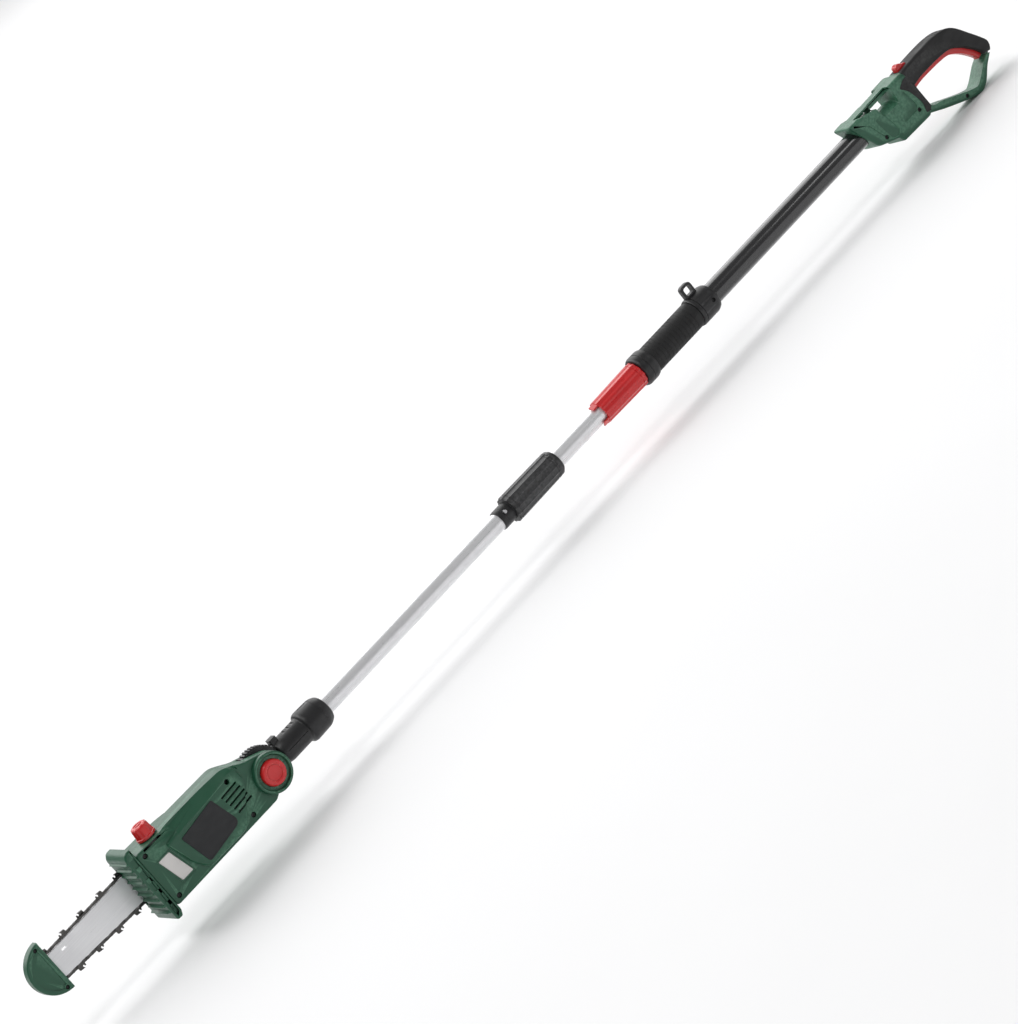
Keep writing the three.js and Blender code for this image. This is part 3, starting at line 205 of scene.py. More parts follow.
def moulded(name, colour, rubbed_and_highlight_colour, roughness, grain=2600, grain_depth=0.00006, specular=0.5, coat=0.0):
    """Moulded plastic or rubber: fine spark grain, soft clouding, handled sheen, and paler edges that are partly
    rubbed plastic and partly a painted highlight.
    """
    made, nodes, links = nodes_of(name)
    shader = nodes["Principled BSDF"]
    cloud = noise_node(nodes, links, 22, 4)
    dark = tuple(c * 0.93 for c in colour)
    light = tuple(min(1, c * 1.06) for c in colour)
    clouding = spread(nodes, links, cloud.outputs["Fac"], 0, 1)
    body = tinted(nodes, links, clouding, dark, light)
    # Paler colour on high-Pointiness edges, broken up by scuff noise: partly rubbed edges, partly a painted
    # highlight.
    edge_rubbing_and_highlight_mask = edge_rubbing_and_painted_highlight(nodes, links, 0.58, 0.72)
    scuffs = noise_node(nodes, links, 260, 6, (1, 1, 1))
    scuffs_and_painted_highlight = nodes.new("ShaderNodeMath")
    scuffs_and_painted_highlight.operation = "MULTIPLY"
    links.new(edge_rubbing_and_highlight_mask, scuffs_and_painted_highlight.inputs[0])
    links.new(spread(nodes, links, scuffs.outputs["Fac"], 0.15, 0.8), scuffs_and_painted_highlight.inputs[1])
    links.new(tinted(nodes, links, scuffs_and_painted_highlight.outputs[0], body, rubbed_and_highlight_colour), shader.inputs["Base Color"])
    smears = noise_node(nodes, links, 55, 5, (1, 2.2, 2.2))
    rough = spread(nodes, links, smears.outputs["Fac"], roughness * 0.86, roughness * 1.16)
    links.new(rough, shader.inputs["Roughness"])
    fine = noise_node(nodes, links, grain, 2)
    waves = noise_node(nodes, links, 38, 2)
    slow = bumped(nodes, links, waves.outputs["Fac"], 0.12, 0.0006)
    links.new(bumped(nodes, links, fine.outputs["Fac"], 0.2, grain_depth, slow), shader.inputs["Normal"])
    shader.inputs["Specular IOR Level"].default_value = specular
    if coat:
        shader.inputs["Coat Weight"].default_value = coat
        shader.inputs["Coat Roughness"].default_value = 0.12
    return made


def metal(name, colour, second, roughness, stretch, line_depth=0.00003, metallic=1.0, coat=0.0, mottle=60):
    """Drawn, ground or machined metal: fine lines along one axis, and smudges."""
    made, nodes, links = nodes_of(name)
    shader = nodes["Principled BSDF"]
    lines = noise_node(nodes, links, 1, 3, stretch)
    smudge = noise_node(nodes, links, mottle, 5)
    streaks = spread(nodes, links, lines.outputs["Fac"], 0, 0.7)
    body = tinted(nodes, links, streaks, colour, second)
    soiled = spread(nodes, links, smudge.outputs["Fac"], 0, 0.35)
    dull = tuple(c * 0.8 for c in second)
    links.new(tinted(nodes, links, soiled, body, dull), shader.inputs["Base Color"])
    rough = nodes.new("ShaderNodeMath")
    rough.operation = "ADD"
    links.new(spread(nodes, links, lines.outputs["Fac"], roughness * 0.6, roughness * 1.1), rough.inputs[0])
    links.new(spread(nodes, links, smudge.outputs["Fac"], 0, 0.1), rough.inputs[1])
    links.new(rough.outputs[0], shader.inputs["Roughness"])
    links.new(bumped(nodes, links, lines.outputs["Fac"], 0.3, line_depth), shader.inputs["Normal"])
    shader.inputs["Metallic"].default_value = metallic
    if coat:
        shader.inputs["Coat Weight"].default_value = coat
        shader.inputs["Coat Roughness"].default_value = 0.1
    return made


ALONG_X = (3, 2600, 2600)
# In each moulded finish the second colour is the paler edge colour: partly rubbed plastic, partly a painted
# highlight.
MATERIALS = {
    "green_plastic": moulded("moulded_green", (0.012, 0.085, 0.043), (0.09, 0.24, 0.15), 0.38),
    "black_plastic": moulded("moulded_black", (0.0105, 0.0105, 0.0115), (0.07, 0.07, 0.072), 0.42),
    "black_rubber": moulded(
        "soft_black", (0.012, 0.012, 0.0125), (0.05, 0.05, 0.05), 0.62, 1900, 0.00012, 0.4
    ),
    "grey_plastic": moulded("moulded_grey", (0.012, 0.013, 0.015), (0.1, 0.1, 0.1), 0.55),
    "red_plastic": moulded(
        "moulded_red", (0.62, 0.012, 0.014), (0.8, 0.12, 0.1), 0.3, 2600, 0.00003, 0.5, 0.25
    ),
    "tube_silver": metal(
        "drawn_tube", (0.88, 0.88, 0.89), (0.78, 0.78, 0.8), 0.34, ALONG_X, metallic=0.55
    ),
    "tube_black": metal(
        "black_anodised", (0.008, 0.008, 0.009), (0.014, 0.014, 0.016), 0.26, ALONG_X, 0.00001, 0.2, 1.0
    ),
    "bar_steel": metal(
        "ground_bar", (0.86, 0.86, 0.87), (0.74, 0.74, 0.76), 0.42, (8, 500, 2600), metallic=0.5, mottle=14
    ),
    "chain_steel": metal(
        "oiled_chain", (0.05, 0.048, 0.046), (0.13, 0.125, 0.12), 0.36, (300, 300, 300), 0.00005, 1, 0.3, 400
    ),
    "steel": metal("machined_steel", (0.5, 0.5, 0.51), (0.34, 0.34, 0.35), 0.34, (500, 900, 500)),
    "clear_plastic": moulded(
        "translucent_white", (0.72, 0.7, 0.68), (0.85, 0.84, 0.82), 0.3, 900, 0.00003, 0.5
    ),
    "board_green": moulded("solder_mask", (0.01, 0.12, 0.04), (0.3, 0.25, 0.1), 0.35, 1500),
    "dark_screw": metal("blackened_steel", (0.03, 0.03, 0.03), (0.06, 0.06, 0.06), 0.4, (500, 900, 500)),
    "spring_steel": metal("spring_steel", (0.4, 0.4, 0.41), (0.25, 0.25, 0.26), 0.3, (400, 400, 400)),
}


def floor():
    made, nodes, links = nodes_of("studio_floor")
    shader = nodes["Principled BSDF"]
    cloud = noise_node(nodes, links, 1.2, 3)
    tone = spread(nodes, links, cloud.outputs["Fac"], 0, 1)
    colour = tinted(nodes, links, tone, (0.86, 0.86, 0.865), (0.88, 0.88, 0.885))
    links.new(colour, shader.inputs["Base Color"])
    shader.inputs["Roughness"].default_value = 0.85
    half = 15
    bm = bmesh.new()
    corners = ((-half, -half), (half, -half), (half, half), (-half, half))
    bm.faces.new([bm.verts.new((x, y, 0)) for x, y in corners])
    mesh = bpy.data.meshes.new("floor")
    bm.to_mesh(mesh)
    bm.free()
    plane = bpy.data.objects.new("floor", mesh)
    plane.data.materials.append(made)
    bpy.context.scene.collection.objects.link(plane)


# ---------------------------------------------------------------- mesh helpers


def rounded(corners, steps=7):
    """A closed outline from corners (x, z, radius), each rounded off where it has a radius."""
    points = []
    for i, corner in enumerate(corners):
        here = Vector(corner[:2])
        radius = corner[2] if len(corner) > 2 else 0
        before = Vector(corners[i - 1][:2]) - here
        after = Vector(corners[(i + 1) % len(corners)][:2]) - here
        reach = min(radius, 0.47 * before.length, 0.47 * after.length)
        if reach <= 0:
            points.append(here)
            continue
        start = here + before.normalized() * reach
        end = here + after.normalized() * reach
        for k in range(steps + 1):
            t = k / steps
            points.append(start * (1 - t) ** 2 + here * (2 * t * (1 - t)) + end * t * t)
    return [p for i, p in enumerate(points) if (p - points[i - 1]).length > MERGE]


def box_outline(x0, x1, z0, z1, radius):
    return rounded([(x0, z0, radius), (x0, z1, radius), (x1, z1, radius), (x1, z0, radius)])


def spline(points, steps=5, closed=False):
    """A smooth line through the points."""
    count = len(points)
    line = []
    for i in range(count if closed else count - 1):
        near = [(i + k) % count if closed else min(max(i + k, 0), count - 1) for k in (-1, 0, 1, 2)]
        a, b, c, d = (Vector(points[j]) for j in near)
        for k in range(steps):
            t = k / steps
            line.append(0.5 * (
                2 * b + (c - a) * t + (
                    2 * a - 5 * b + 4 * c - d
                ) * t * t + (3 * b - a - 3 * c + d) * t**3
            ))
    if not closed:
        line.append(Vector(points[-1]))
    return line


def offset_line(points, distance):
    """The line moved sideways, to the right of its direction of travel."""
    moved = []
    for i, point in enumerate(points):
        step = Vector(points[min(i + 1, len(points) - 1)]) - Vector(points[max(i - 1, 0)])
        step.normalize()
        moved.append(Vector((point[0] + step.y * distance, point[1] - step.x * distance)))
    return moved


def arc(cx, cz, radius, start, end, steps=24):
    turns = (math.radians(start + (end - start) * i / steps) for i in range(steps + 1))
    return [(cx + radius * math.cos(t), cz + radius * math.sin(t)) for t in turns]


def turning_side(points):
    """1 for a closed outline drawn anticlockwise and -1 for a clockwise one."""
    following = points[1:] + points[:1]
    return 1 if sum(p.x * q.y - q.x * p.y for p, q in zip(points, following)) > 0 else -1


def inset_outline(points, distance):
    """The closed outline drawn in by distance along its mitred corners."""
    side = turning_side(points)
    moved = []
    for i, here in enumerate(points):
        one = (here - points[i - 1]).normalized()
        two = (points[(i + 1) % len(points)] - here).normalized()
        first = Vector((-one.y, one.x)) * side
        second = Vector((-two.y, two.x)) * side
        mitre = (first + second) / max(0.35, 1 + first.dot(second))
        moved.append(here + mitre * distance)
    return moved


def as_object(name, bm):
    bmesh.ops.remove_doubles(bm, verts=bm.verts, dist=1e-6)
    bmesh.ops.recalc_face_normals(bm, faces=bm.faces)
    mesh = bpy.data.meshes.new(name)
    bm.to_mesh(mesh)
    bm.free()
    made = bpy.data.objects.new(name, mesh)
    bpy.context.scene.collection.objects.link(made)
    return made


def lofted(rings):
    """A mesh through rings of points of equal length, with a face on each end."""
    bm = bmesh.new()
    made = [[bm.verts.new(row(*p)) for p in ring_points] for ring_points in rings]
    for lower, upper in zip(made, made[1:]):
        for i in range(len(lower)):
            j = (i + 1) % len(lower)
            bm.faces.new((lower[i], lower[j], upper[j], upper[i]))
    bm.faces.new(made[0])
    bm.faces.new(made[-1])
    return bm


def slab(shape, y0, y1, edge=0.0, steps=4):
    """A flat outline in x and z given thickness along y, its rims rounded by edge."""
    points = [Vector(p[:2]) for p in shape]
    levels = [(y0, 0.0), (y1, 0.0)]
    if edge:
        turns = [math.pi / 2 * k / steps for k in range(steps + 1)]
        low = [(y0 + edge * (1 - math.cos(t)), edge * (1 - math.sin(t))) for t in turns]
        high = [(y1 - edge * (1 - math.cos(t)), edge * (1 - math.sin(t))) for t in reversed(turns)]
        levels = low + high
    rings = []
    for y, drawn in levels:
        drawn_in = inset_outline(points, drawn) if drawn > 1e-6 else points
        rings.append([(p.x, y, p.y) for p in drawn_in])
    return as_object("slab", lofted(rings))


def block(x0, x1, y0, y1, z0, z1, edge=0.0):
    return slab([(x0, z0), (x1, z0), (x1, z1), (x0, z1)], y0, y1, edge)


PLACE = {
    "x": lambda along, r, c, s: (along, r * c, r * s), "y": lambda along, r, c,
    s: (r * c, along, -r * s), "z": lambda along, r, c, s: (r * c, r * s, along),
}


def turned(axis, profile, centre=(0, 0, 0), sides=96, steps=4):
    """A solid of revolution: profile corners are (along, radius, rounding) on the axis."""
    points = rounded(profile, steps)
    bm = bmesh.new()
    rings = []
    for along, radius in ((p.x, p.y) for p in points):
        if radius < 1e-4:
            spot = Vector(PLACE[axis](along, 0, 1, 0)) + Vector(centre)
            rings.append([bm.verts.new(row(*spot))])
            continue
        ring_points = []
        for i in range(sides):
            turn = 2 * math.pi * i / sides
            spot = Vector(PLACE[axis](along, radius, math.cos(turn), math.sin(turn))) + Vector(centre)
            ring_points.append(bm.verts.new(row(*spot)))
        rings.append(ring_points)
    for i, here in enumerate(rings):
        there = rings[(i + 1) % len(rings)]
        if len(here) == 1 and len(there) == 1:
            continue
        for k in range(sides):
            n = (k + 1) % sides
            corners = [
                here[k % len(here)], here[n % len(here)], there[n % len(there)], there[k % len(there)],
            ]
            corners = list(dict.fromkeys(corners))
            if len(corners) > 2:
                bm.faces.new(corners)
    return as_object("turned", bm)


def rod(axis, radius, start, end, centre=(0, 0, 0), sides=48, edge=0.0):
    profile = [(start, 0), (start, radius, edge), (end, radius, edge), (end, 0)]
    return turned(axis, profile, centre, sides)


def pipe(axis, inner, outer, start, end, centre=(0, 0, 0), sides=96, edge=0.4):
    profile = [(start, inner, edge), (start, outer, edge), (end, outer, edge), (end, inner, edge)]
    return turned(axis, profile, centre, sides)


def screw_hole(x, z, head_r, head_end, shank_r, shank_end):
    """Room for a screw's head and shank along y, entered from the near side."""
    head = rod("y", head_r, -REACH, head_end, (x, 0, z), 32)
    return [head, rod("y", shank_r, -REACH, shank_end, (x, 0, z), 24)]


def fluted(x0, x1, r0, r1, flutes, depth, sides_each=12, edge=1.2, square=0.0):
    """A solid sleeve along x with lengthwise flutes whose radius goes from r0 to r1."""
    count = flutes * sides_each
    stations = [(x0, edge), (x0 + edge * 0.3, edge * 0.4), (x0 + edge, 0), (x1 - edge, 0)]
    stations += [(x1 - edge * 0.3, edge * 0.4), (x1, edge)]
    rings = []
    for x, drawn in stations:
        radius = r0 + (r1 - r0) * (x - x0) / (x1 - x0) - drawn
        ring_points = []
        for i in range(count):
            turn = 2 * math.pi * i / count
            wave = 0.5 - 0.5 * math.cos(turn * flutes)
            wave = wave**0.35 if square else wave
            reach = radius - depth * wave
            ring_points.append((x, reach * math.cos(turn), reach * math.sin(turn)))
        rings.append(ring_points)
    return as_object("fluted", lofted(rings))


def settle(made):
    """Replaces the mesh by what its modifiers make of it."""
    bpy.context.view_layer.update()
    shown = made.evaluated_get(bpy.context.evaluated_depsgraph_get())
    result = bpy.data.meshes.new_from_object(shown)
    made.modifiers.clear()
    made.data = result


def combine(base, operation, tools):
    """Applies a boolean of each tool to base and removes the tools."""
    for tool in tools:
        part = base.modifiers.new("part", "BOOLEAN")
        part.operation = operation
        part.solver = "MANIFOLD"
        part.object = tool
    settle(base)
    for tool in tools:
        bpy.data.objects.remove(tool)
    return base


def cut(base, *tools):
    return combine(base, "DIFFERENCE", tools)


def add(base, *tools):
    return combine(base, "UNION", tools)


def keep(base, *tools):
    return combine(base, "INTERSECT", tools)


def copy_of(made):
    twin = made.copy()
    twin.data = made.data.copy()
    bpy.context.scene.collection.objects.link(twin)
    return twin


def body_of(node):
    groups = frame["record"]["behaviour"]["bodies"]
    return next(body for body, members in groups.items() if node in members)


SLOT_OF = {part["node"]: part["material_slot"] for part in frame["record"]["subparts"]}


def piece(made, name, node, edge=0.0, finish=None, angle=32):
    """Names a piece, softens its edges, gives it the node's finish and body, and hides the node."""
    made.name = name
    if edge:
        bevel = made.modifiers.new("edges", "BEVEL")
        bevel.width = edge / 1000
        bevel.segments = 2
        bevel.limit_method = "ANGLE"
        bevel.angle_limit = math.radians(38)
        bevel.use_clamp_overlap = True
        bevel.harden_normals = False
        settle(made)
    made.data.materials.clear()
    made.data.materials.append(MATERIALS[finish or SLOT_OF[node]])
    made.data.shade_smooth()
    made.data.set_sharp_from_angle(angle=math.radians(angle))
    weighted = made.modifiers.new("weighted", "WEIGHTED_NORMAL")
    weighted.keep_sharp = True
    settle(made)
    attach(made, body_of(node))
    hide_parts(node)
    return made


# ---------------------------------------------------------------- measures from the frame

HEAD_FRONT = span("bumper_flange")[1] + GAP
FLANGE_FRONT = HEAD_FRONT - 16
_, _, BOSS_Y, _, HEAD_BOTTOM, HEAD_TOP = span("head_shell_near")
HEAD_NEAR = -(BOSS_Y + 8)
FAR_FACE = span("shaft_bearing_outer")[3] - 2
BOSS_R = 30
TILT_DISC_R = 39
CHEEK_GAP = 9
BUTTON_R = (span("tilt_button")[1] - span("tilt_button")[0]) / 2
PANEL_Y = -HEAD_NEAR - 5
COVER_Y = span("chain_cover")[3]
SHAFT_X = sum(span("output_shaft")[:2]) / 2
SHAFT_Z = sum(span("output_shaft")[4:]) / 2
MOTOR_X = sum(span("motor_can")[:2]) / 2
BAR_Y = sum(span("guide_bar")[2:4]) / 2
BAR_TIP = span("guide_bar")[0]
BAR_BOTTOM, BAR_TOP = span("guide_bar")[4:]
NOSE_R = 19.5
STUD_X = sum(span("bar_stud")[:2]) / 2
FILLER_X = sum(span("oil_cap")[:2]) / 2
FILLER_Y = sum(span("oil_cap")[2:4]) / 2
TUBE_R = span("lower_tube")[5]
OUTER_R = span("outer_tube")[5]
HANDLE_X = span("outer_tube")[1] - 34
HOUSING_END = HANDLE_X + 118
HANDLE_HALF = -span("handle_shell_near")[2]


# ---------------------------------------------------------------- cutting head housing


def head_outline(inset):
    front = HEAD_FRONT + inset
    top = HEAD_TOP - inset
    bottom = HEAD_BOTTOM + inset
    boss = BOSS_R + 1 - inset
    corners = [
        (front, bottom, 8), (front, top, 8), (-BOSS_R - 22, top - 3, 16), (-BOSS_R - 7, top - 11, 8),
        (-BOSS_R + 8, top - 20, 8), (-3, boss + 3, 8), *arc(0, 0, boss, 65, -110, 40),
        (-BOSS_R + 11, bottom, 4), (-BOSS_R - 32, bottom, 8),
    ]
    return rounded(corners)


def shoulder_cut(shift):
    """What the wide sloping shoulder takes off the housing's upper near edge; shift moves it inwards."""
    stations = [
        (-186, 50, 6), (-160, 39, 1), (SHAFT_X + 29, 43, 0), (-58, 48, 0), (-44, 47, 1.5), (-34, 26, 6),
    ]
    rings = []
    for x, z, out in stations:
        y = PANEL_Y - out + shift
        ring_points = [(y - 30, z - 1 - shift), (y - 0.3, z - 1 - shift), (y + 3, z + 3 - shift)]
        ring_points += [(y + 13, z + 16 - shift), (y + 13, z + 60), (y - 30, z + 60)]
        rings.append([(x, a, b) for a, b in ring_points])
    return as_object("shoulder", lofted(rings))


PANEL = [
    (HEAD_FRONT + 72, HEAD_BOTTOM + 5, 10), (HEAD_FRONT + 56, HEAD_BOTTOM + 28, 10),
    (HEAD_FRONT + 44, HEAD_TOP - 19, 5), (SHAFT_X - 27, HEAD_TOP - 13, 20),
    (SHAFT_X + 29, HEAD_TOP - 5, 14), (-BOSS_R - 20, HEAD_TOP - 4, 8), (-BOSS_R - 9, HEAD_TOP - 11, 6),
    (-BOSS_R - 8, HEAD_TOP - 36, 14), (-BOSS_R - 48, HEAD_BOTTOM + 4, 14),
]
LABEL = [
    (HEAD_FRONT + 76, HEAD_BOTTOM + 12, 5), (HEAD_FRONT + 65, HEAD_TOP - 29, 3),
    (SHAFT_X + 20, HEAD_TOP - 21, 3), (SHAFT_X + 33, HEAD_BOTTOM + 21, 12),
]
HEAD_SCREWS = [(HEAD_FRONT + 12, HEAD_TOP - 10), (HEAD_FRONT + 12, HEAD_BOTTOM + 10)]
HEAD_SCREWS += [(MOTOR_X + 10, HEAD_TOP - 20), (MOTOR_X + 10, HEAD_BOTTOM + 11)]


def chamfered_panel():
    """The raised side panel, with a wide sloping top edge that curls down at its rear."""
    outer = rounded(PANEL)
    centre_z = (HEAD_TOP + HEAD_BOTTOM) / 2
    levels = [(-HEAD_NEAR + 2, 0), (-HEAD_NEAR, 0), (PANEL_Y + 1.5, 0.6), (PANEL_Y, 1.8)]
    rings = []
    for y, drawn in levels:
        ring_points = []
        for outer_point, inner_point in zip(outer, inset_outline(outer, max(drawn, 1e-6))):
            share = max(0.0, min(1.0, (outer_point.y - centre_z) / 20))
            rear = max(0.0, min(1.0, (outer_point.x - SHAFT_X) / 60))
            slope = drawn * share * (2.2 + 1.6 * rear)
            ring_points.append((inner_point.x, y, inner_point.y - slope))
        rings.append(ring_points)
    return as_object("panel", lofted(rings))


def head_cuts():
    """What is taken out of the head housing: tilt joint, button, window, filler, grooves and screws."""
    face = -HEAD_NEAR
    seat = face + 6
    tools = [
        rod("y", TILT_DISC_R + 3, -CHEEK_GAP, CHEEK_GAP, sides=96),
        block(20, 60, -CHEEK_GAP, CHEEK_GAP, -50, 50),
        rod("y", 6.3, seat, 40),
        rod("y", BUTTON_R + GAP + 0.2, -REACH, face + 2, sides=96),
        rod("y", 11, -REACH, seat),
        turned("y", [
            (-REACH, 0), (-REACH, BUTTON_R + 9), (BOSS_Y, BUTTON_R + 7), (BOSS_Y + 4, BUTTON_R + 5.5, 1),
            (BOSS_Y + 4, 0),
        ]),
        slab(window_outline(GAP), face - 10, face + WALL + 1),
        rod("z", 10.3, 40, 90, (FILLER_X, FILLER_Y, 0)),
        rod("y", 11.3, FAR_FACE - WALL - 2, 40, (SHAFT_X, 0, SHAFT_Z)),
    ]
    for i in range(5):
        z = SHAFT_Z + 14 - i * 8
        x = MOTOR_X - 12 + i * 1.5
        vent = rounded([(x, z, 1.2), (x, z + 3, 1.2), (x + 32, z + 5, 1.2), (x + 32, z + 2, 1.2)], 3)
        tools.append(slab(vent, -REACH, face + WALL + 1))
    deck_groove = rounded([
        (HEAD_FRONT + 14, HEAD_TOP - 5.5, 2), (HEAD_FRONT + 16, HEAD_TOP - 1, 2),
        (HEAD_FRONT + 122, HEAD_TOP - 2.5, 2), (HEAD_FRONT + 106, HEAD_TOP - 7, 2),
    ])
    tools.append(slab(deck_groove, face - 5, face + 3.2))
    frame_line = slab(window_outline(3.2), face - 5, face + 0.7)
    tools.append(cut(frame_line, slab(window_outline(1.6), face - 9, face + 5)))
    for x, z in HEAD_SCREWS:
        tools += screw_hole(x, z, 4.1, face + 4.2, 2.3, 8)
    for i in range(3):
        x = HEAD_FRONT + 58 + i * 16
        low = HEAD_BOTTOM - 4
        rib = rounded([(x, low + 5), (x + 9, low + 5), (x + 8, low), (x + 1, low)])
        tools.append(slab(rib, face + 8, HEAD_NEAR - 4))
    return tools


def head_shells():
    skin = slab(head_outline(0), -HEAD_NEAR, HEAD_NEAR, 3, 5)
    boss = turned("y", [
        (BOSS_Y, 0), (BOSS_Y, BOSS_R, 1.5), (-HEAD_NEAR - 1, BOSS_R + 0.8, 1), (-HEAD_NEAR + 1, BOSS_R),
        (-HEAD_NEAR + 1, 0),
    ], steps=3)
    cavity = slab(head_outline(WALL), -HEAD_NEAR + WALL, FAR_FACE - WALL)
    cheeks = block(-BOSS_R - 8, BOSS_R + 5, -HEAD_NEAR, FAR_FACE, HEAD_BOTTOM - 5, HEAD_TOP + 5)
    body = cut(add(skin, chamfered_panel()), shoulder_cut(0))
    body = add(body, boss)
    cut(body, cut(cavity, cheeks, shoulder_cut(3.5)))
    body = cut(body, *head_cuts())
    near = keep(copy_of(body), block(-400, 60, -80, -GAP / 2, -80, 100))
    far = keep(body, block(-400, 60, GAP / 2, FAR_FACE, -80, 100))
    pad = rod("y", 6, FAR_FACE - WALL, BAR_Y - 2 - GAP, (STUD_X, 0, SHAFT_Z))
    far = cut(add(far, pad), rod("y", 4.3, 8, REACH, (STUD_X, 0, SHAFT_Z)))
    piece(near, "head_housing_near", "head_shell_near", 0.5)
    piece(far, "head_housing_far", "head_shell_far", 0.5)


def window_outline(extra):
    x0, x1, z0, z1 = HEAD_FRONT + 20, HEAD_FRONT + 41, HEAD_BOTTOM + 21, HEAD_TOP - 30
    lean = 10
    return rounded([
        (x0 + lean - extra, z0 - extra, 2), (x0 - extra, z1 + extra, 2), (x1 + extra, z1 + extra, 2),
        (x1 + lean + extra, z0 - extra, 2),
    ])


def head_trim():
    pane = slab(window_outline(-0.1), -HEAD_NEAR - 0.7, -HEAD_NEAR + WALL - 0.5, 0.5, 3)
    ledge = slab(window_outline(-2.6), -HEAD_NEAR - 2, -HEAD_NEAR - 0.2)
    piece(cut(pane, ledge), "oil_level_window", "oil_window", 0.15)
    plate = slab(rounded(LABEL), PANEL_Y - GAP - 0.8, PANEL_Y - GAP, 0.3, 2)
    recess = slab(inset_outline(rounded(LABEL), 1.6), PANEL_Y - 3, PANEL_Y - GAP - 0.55)
    piece(cut(plate, recess), "label_plate", "label_panel", 0.1)


def bumper():
    """The stop plate in front of the housing, with spikes across its front face."""
    x0, x1, y0, y1, z0, z1 = span("bumper_flange")
    front = FLANGE_FRONT
    side = rounded([
        (front + 2, z0, 4), (front, z1 - 8, 4), (front + 6, z1, 4), (x1, z1, 1), (x1, z0 + 8, 1),
        (x1 - 4, z0, 2),
    ])
    plate = slab(side, y0, y1, 3, 5)
    extras = []
    ribs = 9
    pitch = (z1 - z0 - 20) / ribs
    for i in range(ribs):
        z = z0 + 12 + i * pitch
        crest = (front - 3, z + pitch / 3, 1)
        spike = rounded([(front + 3, z), crest, (front + 3, z + 2 * pitch / 3)], 4)
        extras.append(slab(spike, y0 + 5, y1 - 5, 1.2, 2))
    plate = add(plate, *extras)
    passage = block(front - 10, x1 + 10, BAR_Y - 4.8, BAR_Y + 4.8, BAR_BOTTOM - 12.5, BAR_TOP + 12.5)
    face = [
        block(front + 4, x1 - 4, y0 - 2, y0 + 1.2, z0 + 10 + i * 21, z0 + 24 + i * 21) for i in range(5)
    ]
    plate = cut(plate, passage, *face)
    piece(plate, "bumper_plate", "bumper_flange", 0.7)


def cover():
    rear = SHAFT_X + 35

    def side(inset):
        return rounded([
            (HEAD_FRONT + inset, HEAD_BOTTOM + inset + 4), (HEAD_FRONT + inset, HEAD_TOP - inset - 1),
            (HEAD_FRONT + 78, HEAD_TOP - inset - 3, 20), (rear - 10 - inset, HEAD_TOP - inset - 16, 14),
            (rear - inset, 0, 14), (rear - 10 - inset, HEAD_BOTTOM + inset + 6, 14),
        ])

    y0 = FAR_FACE + GAP
    skin = keep(slab(side(0), y0 - 4, COVER_Y, 4, 5), block(-400, 60, y0, 80, -80, 100))
    cavity = slab(side(WALL), y0 - 5, COVER_Y - WALL)
    mouth = block(
        HEAD_FRONT - 10, HEAD_FRONT + 20, y0 - 5, COVER_Y - WALL, BAR_BOTTOM - 12.5, BAR_TOP + 12.5,
    )
    tools = [cavity, mouth]
    for i in range(6):
        x = SHAFT_X - 34 + i * 9
        groove = rounded([(x, 34, 1.2), (x + 4, 34, 1.2), (x - 6, -8 + i, 1.2), (x - 10, -8 + i, 1.2)], 3)
        tools.append(slab(groove, COVER_Y - 1.2, COVER_Y + 5))
    skin = cut(skin, *tools)
    spot = (STUD_X, 0, SHAFT_Z)
    skin = add(skin, rod("y", 9, BAR_Y + 2 + GAP, COVER_Y - 1, spot))
    skin = cut(skin, pipe("y", 18.5, 21.5, COVER_Y - 1, COVER_Y + 5, spot), rod("y", 4.3, 0, 60, spot))
    piece(skin, "sprocket_cover", "chain_cover", 0.5)

    y0, y1 = span("cover_knob")[2:4]
    knob = fluted_knob(spot, y0, y1 - 4, 17, 24)
    wing = slab(box_outline(STUD_X - 14, STUD_X + 14, SHAFT_Z - 3, SHAFT_Z + 3, 3), y0 + 5, y1, 1.2)
    knob = cut(add(knob, wing), rod("y", 4.3, y0 - 3, y0 + 8, spot))
    piece(knob, "cover_wing_knob", "cover_knob", 0.3)


def fluted_knob(spot, y0, y1, radius, flutes):
    count = flutes * 8
    rings = []
    for y, drawn in ((y0, 1.0), (y0 + 0.8, 0), (y1 - 3, 0.6), (y1 - 1, 1.8), (y1, 4.0)):
        ring_points = []
        for i in range(count):
            turn = 2 * math.pi * i / count
            reach = radius - drawn - 0.9 * (0.5 - 0.5 * math.cos(turn * flutes))
            ring_points.append((spot[0] + reach * math.cos(turn), y, spot[2] + reach * math.sin(turn)))
        rings.append(ring_points)
    return as_object("knob", lofted(rings))


# ---------------------------------------------------------------- bar, chain and guard

NOSE_X = BAR_TIP + NOSE_R
NOSE_Z = BAR_TOP - NOSE_R
RAIL_TOP_X = HEAD_FRONT + 43
RAIL_BOTTOM_X = HEAD_FRONT + 33
NOSE_RAIL = 264  # degrees: where the nose's arc meets the lower rail


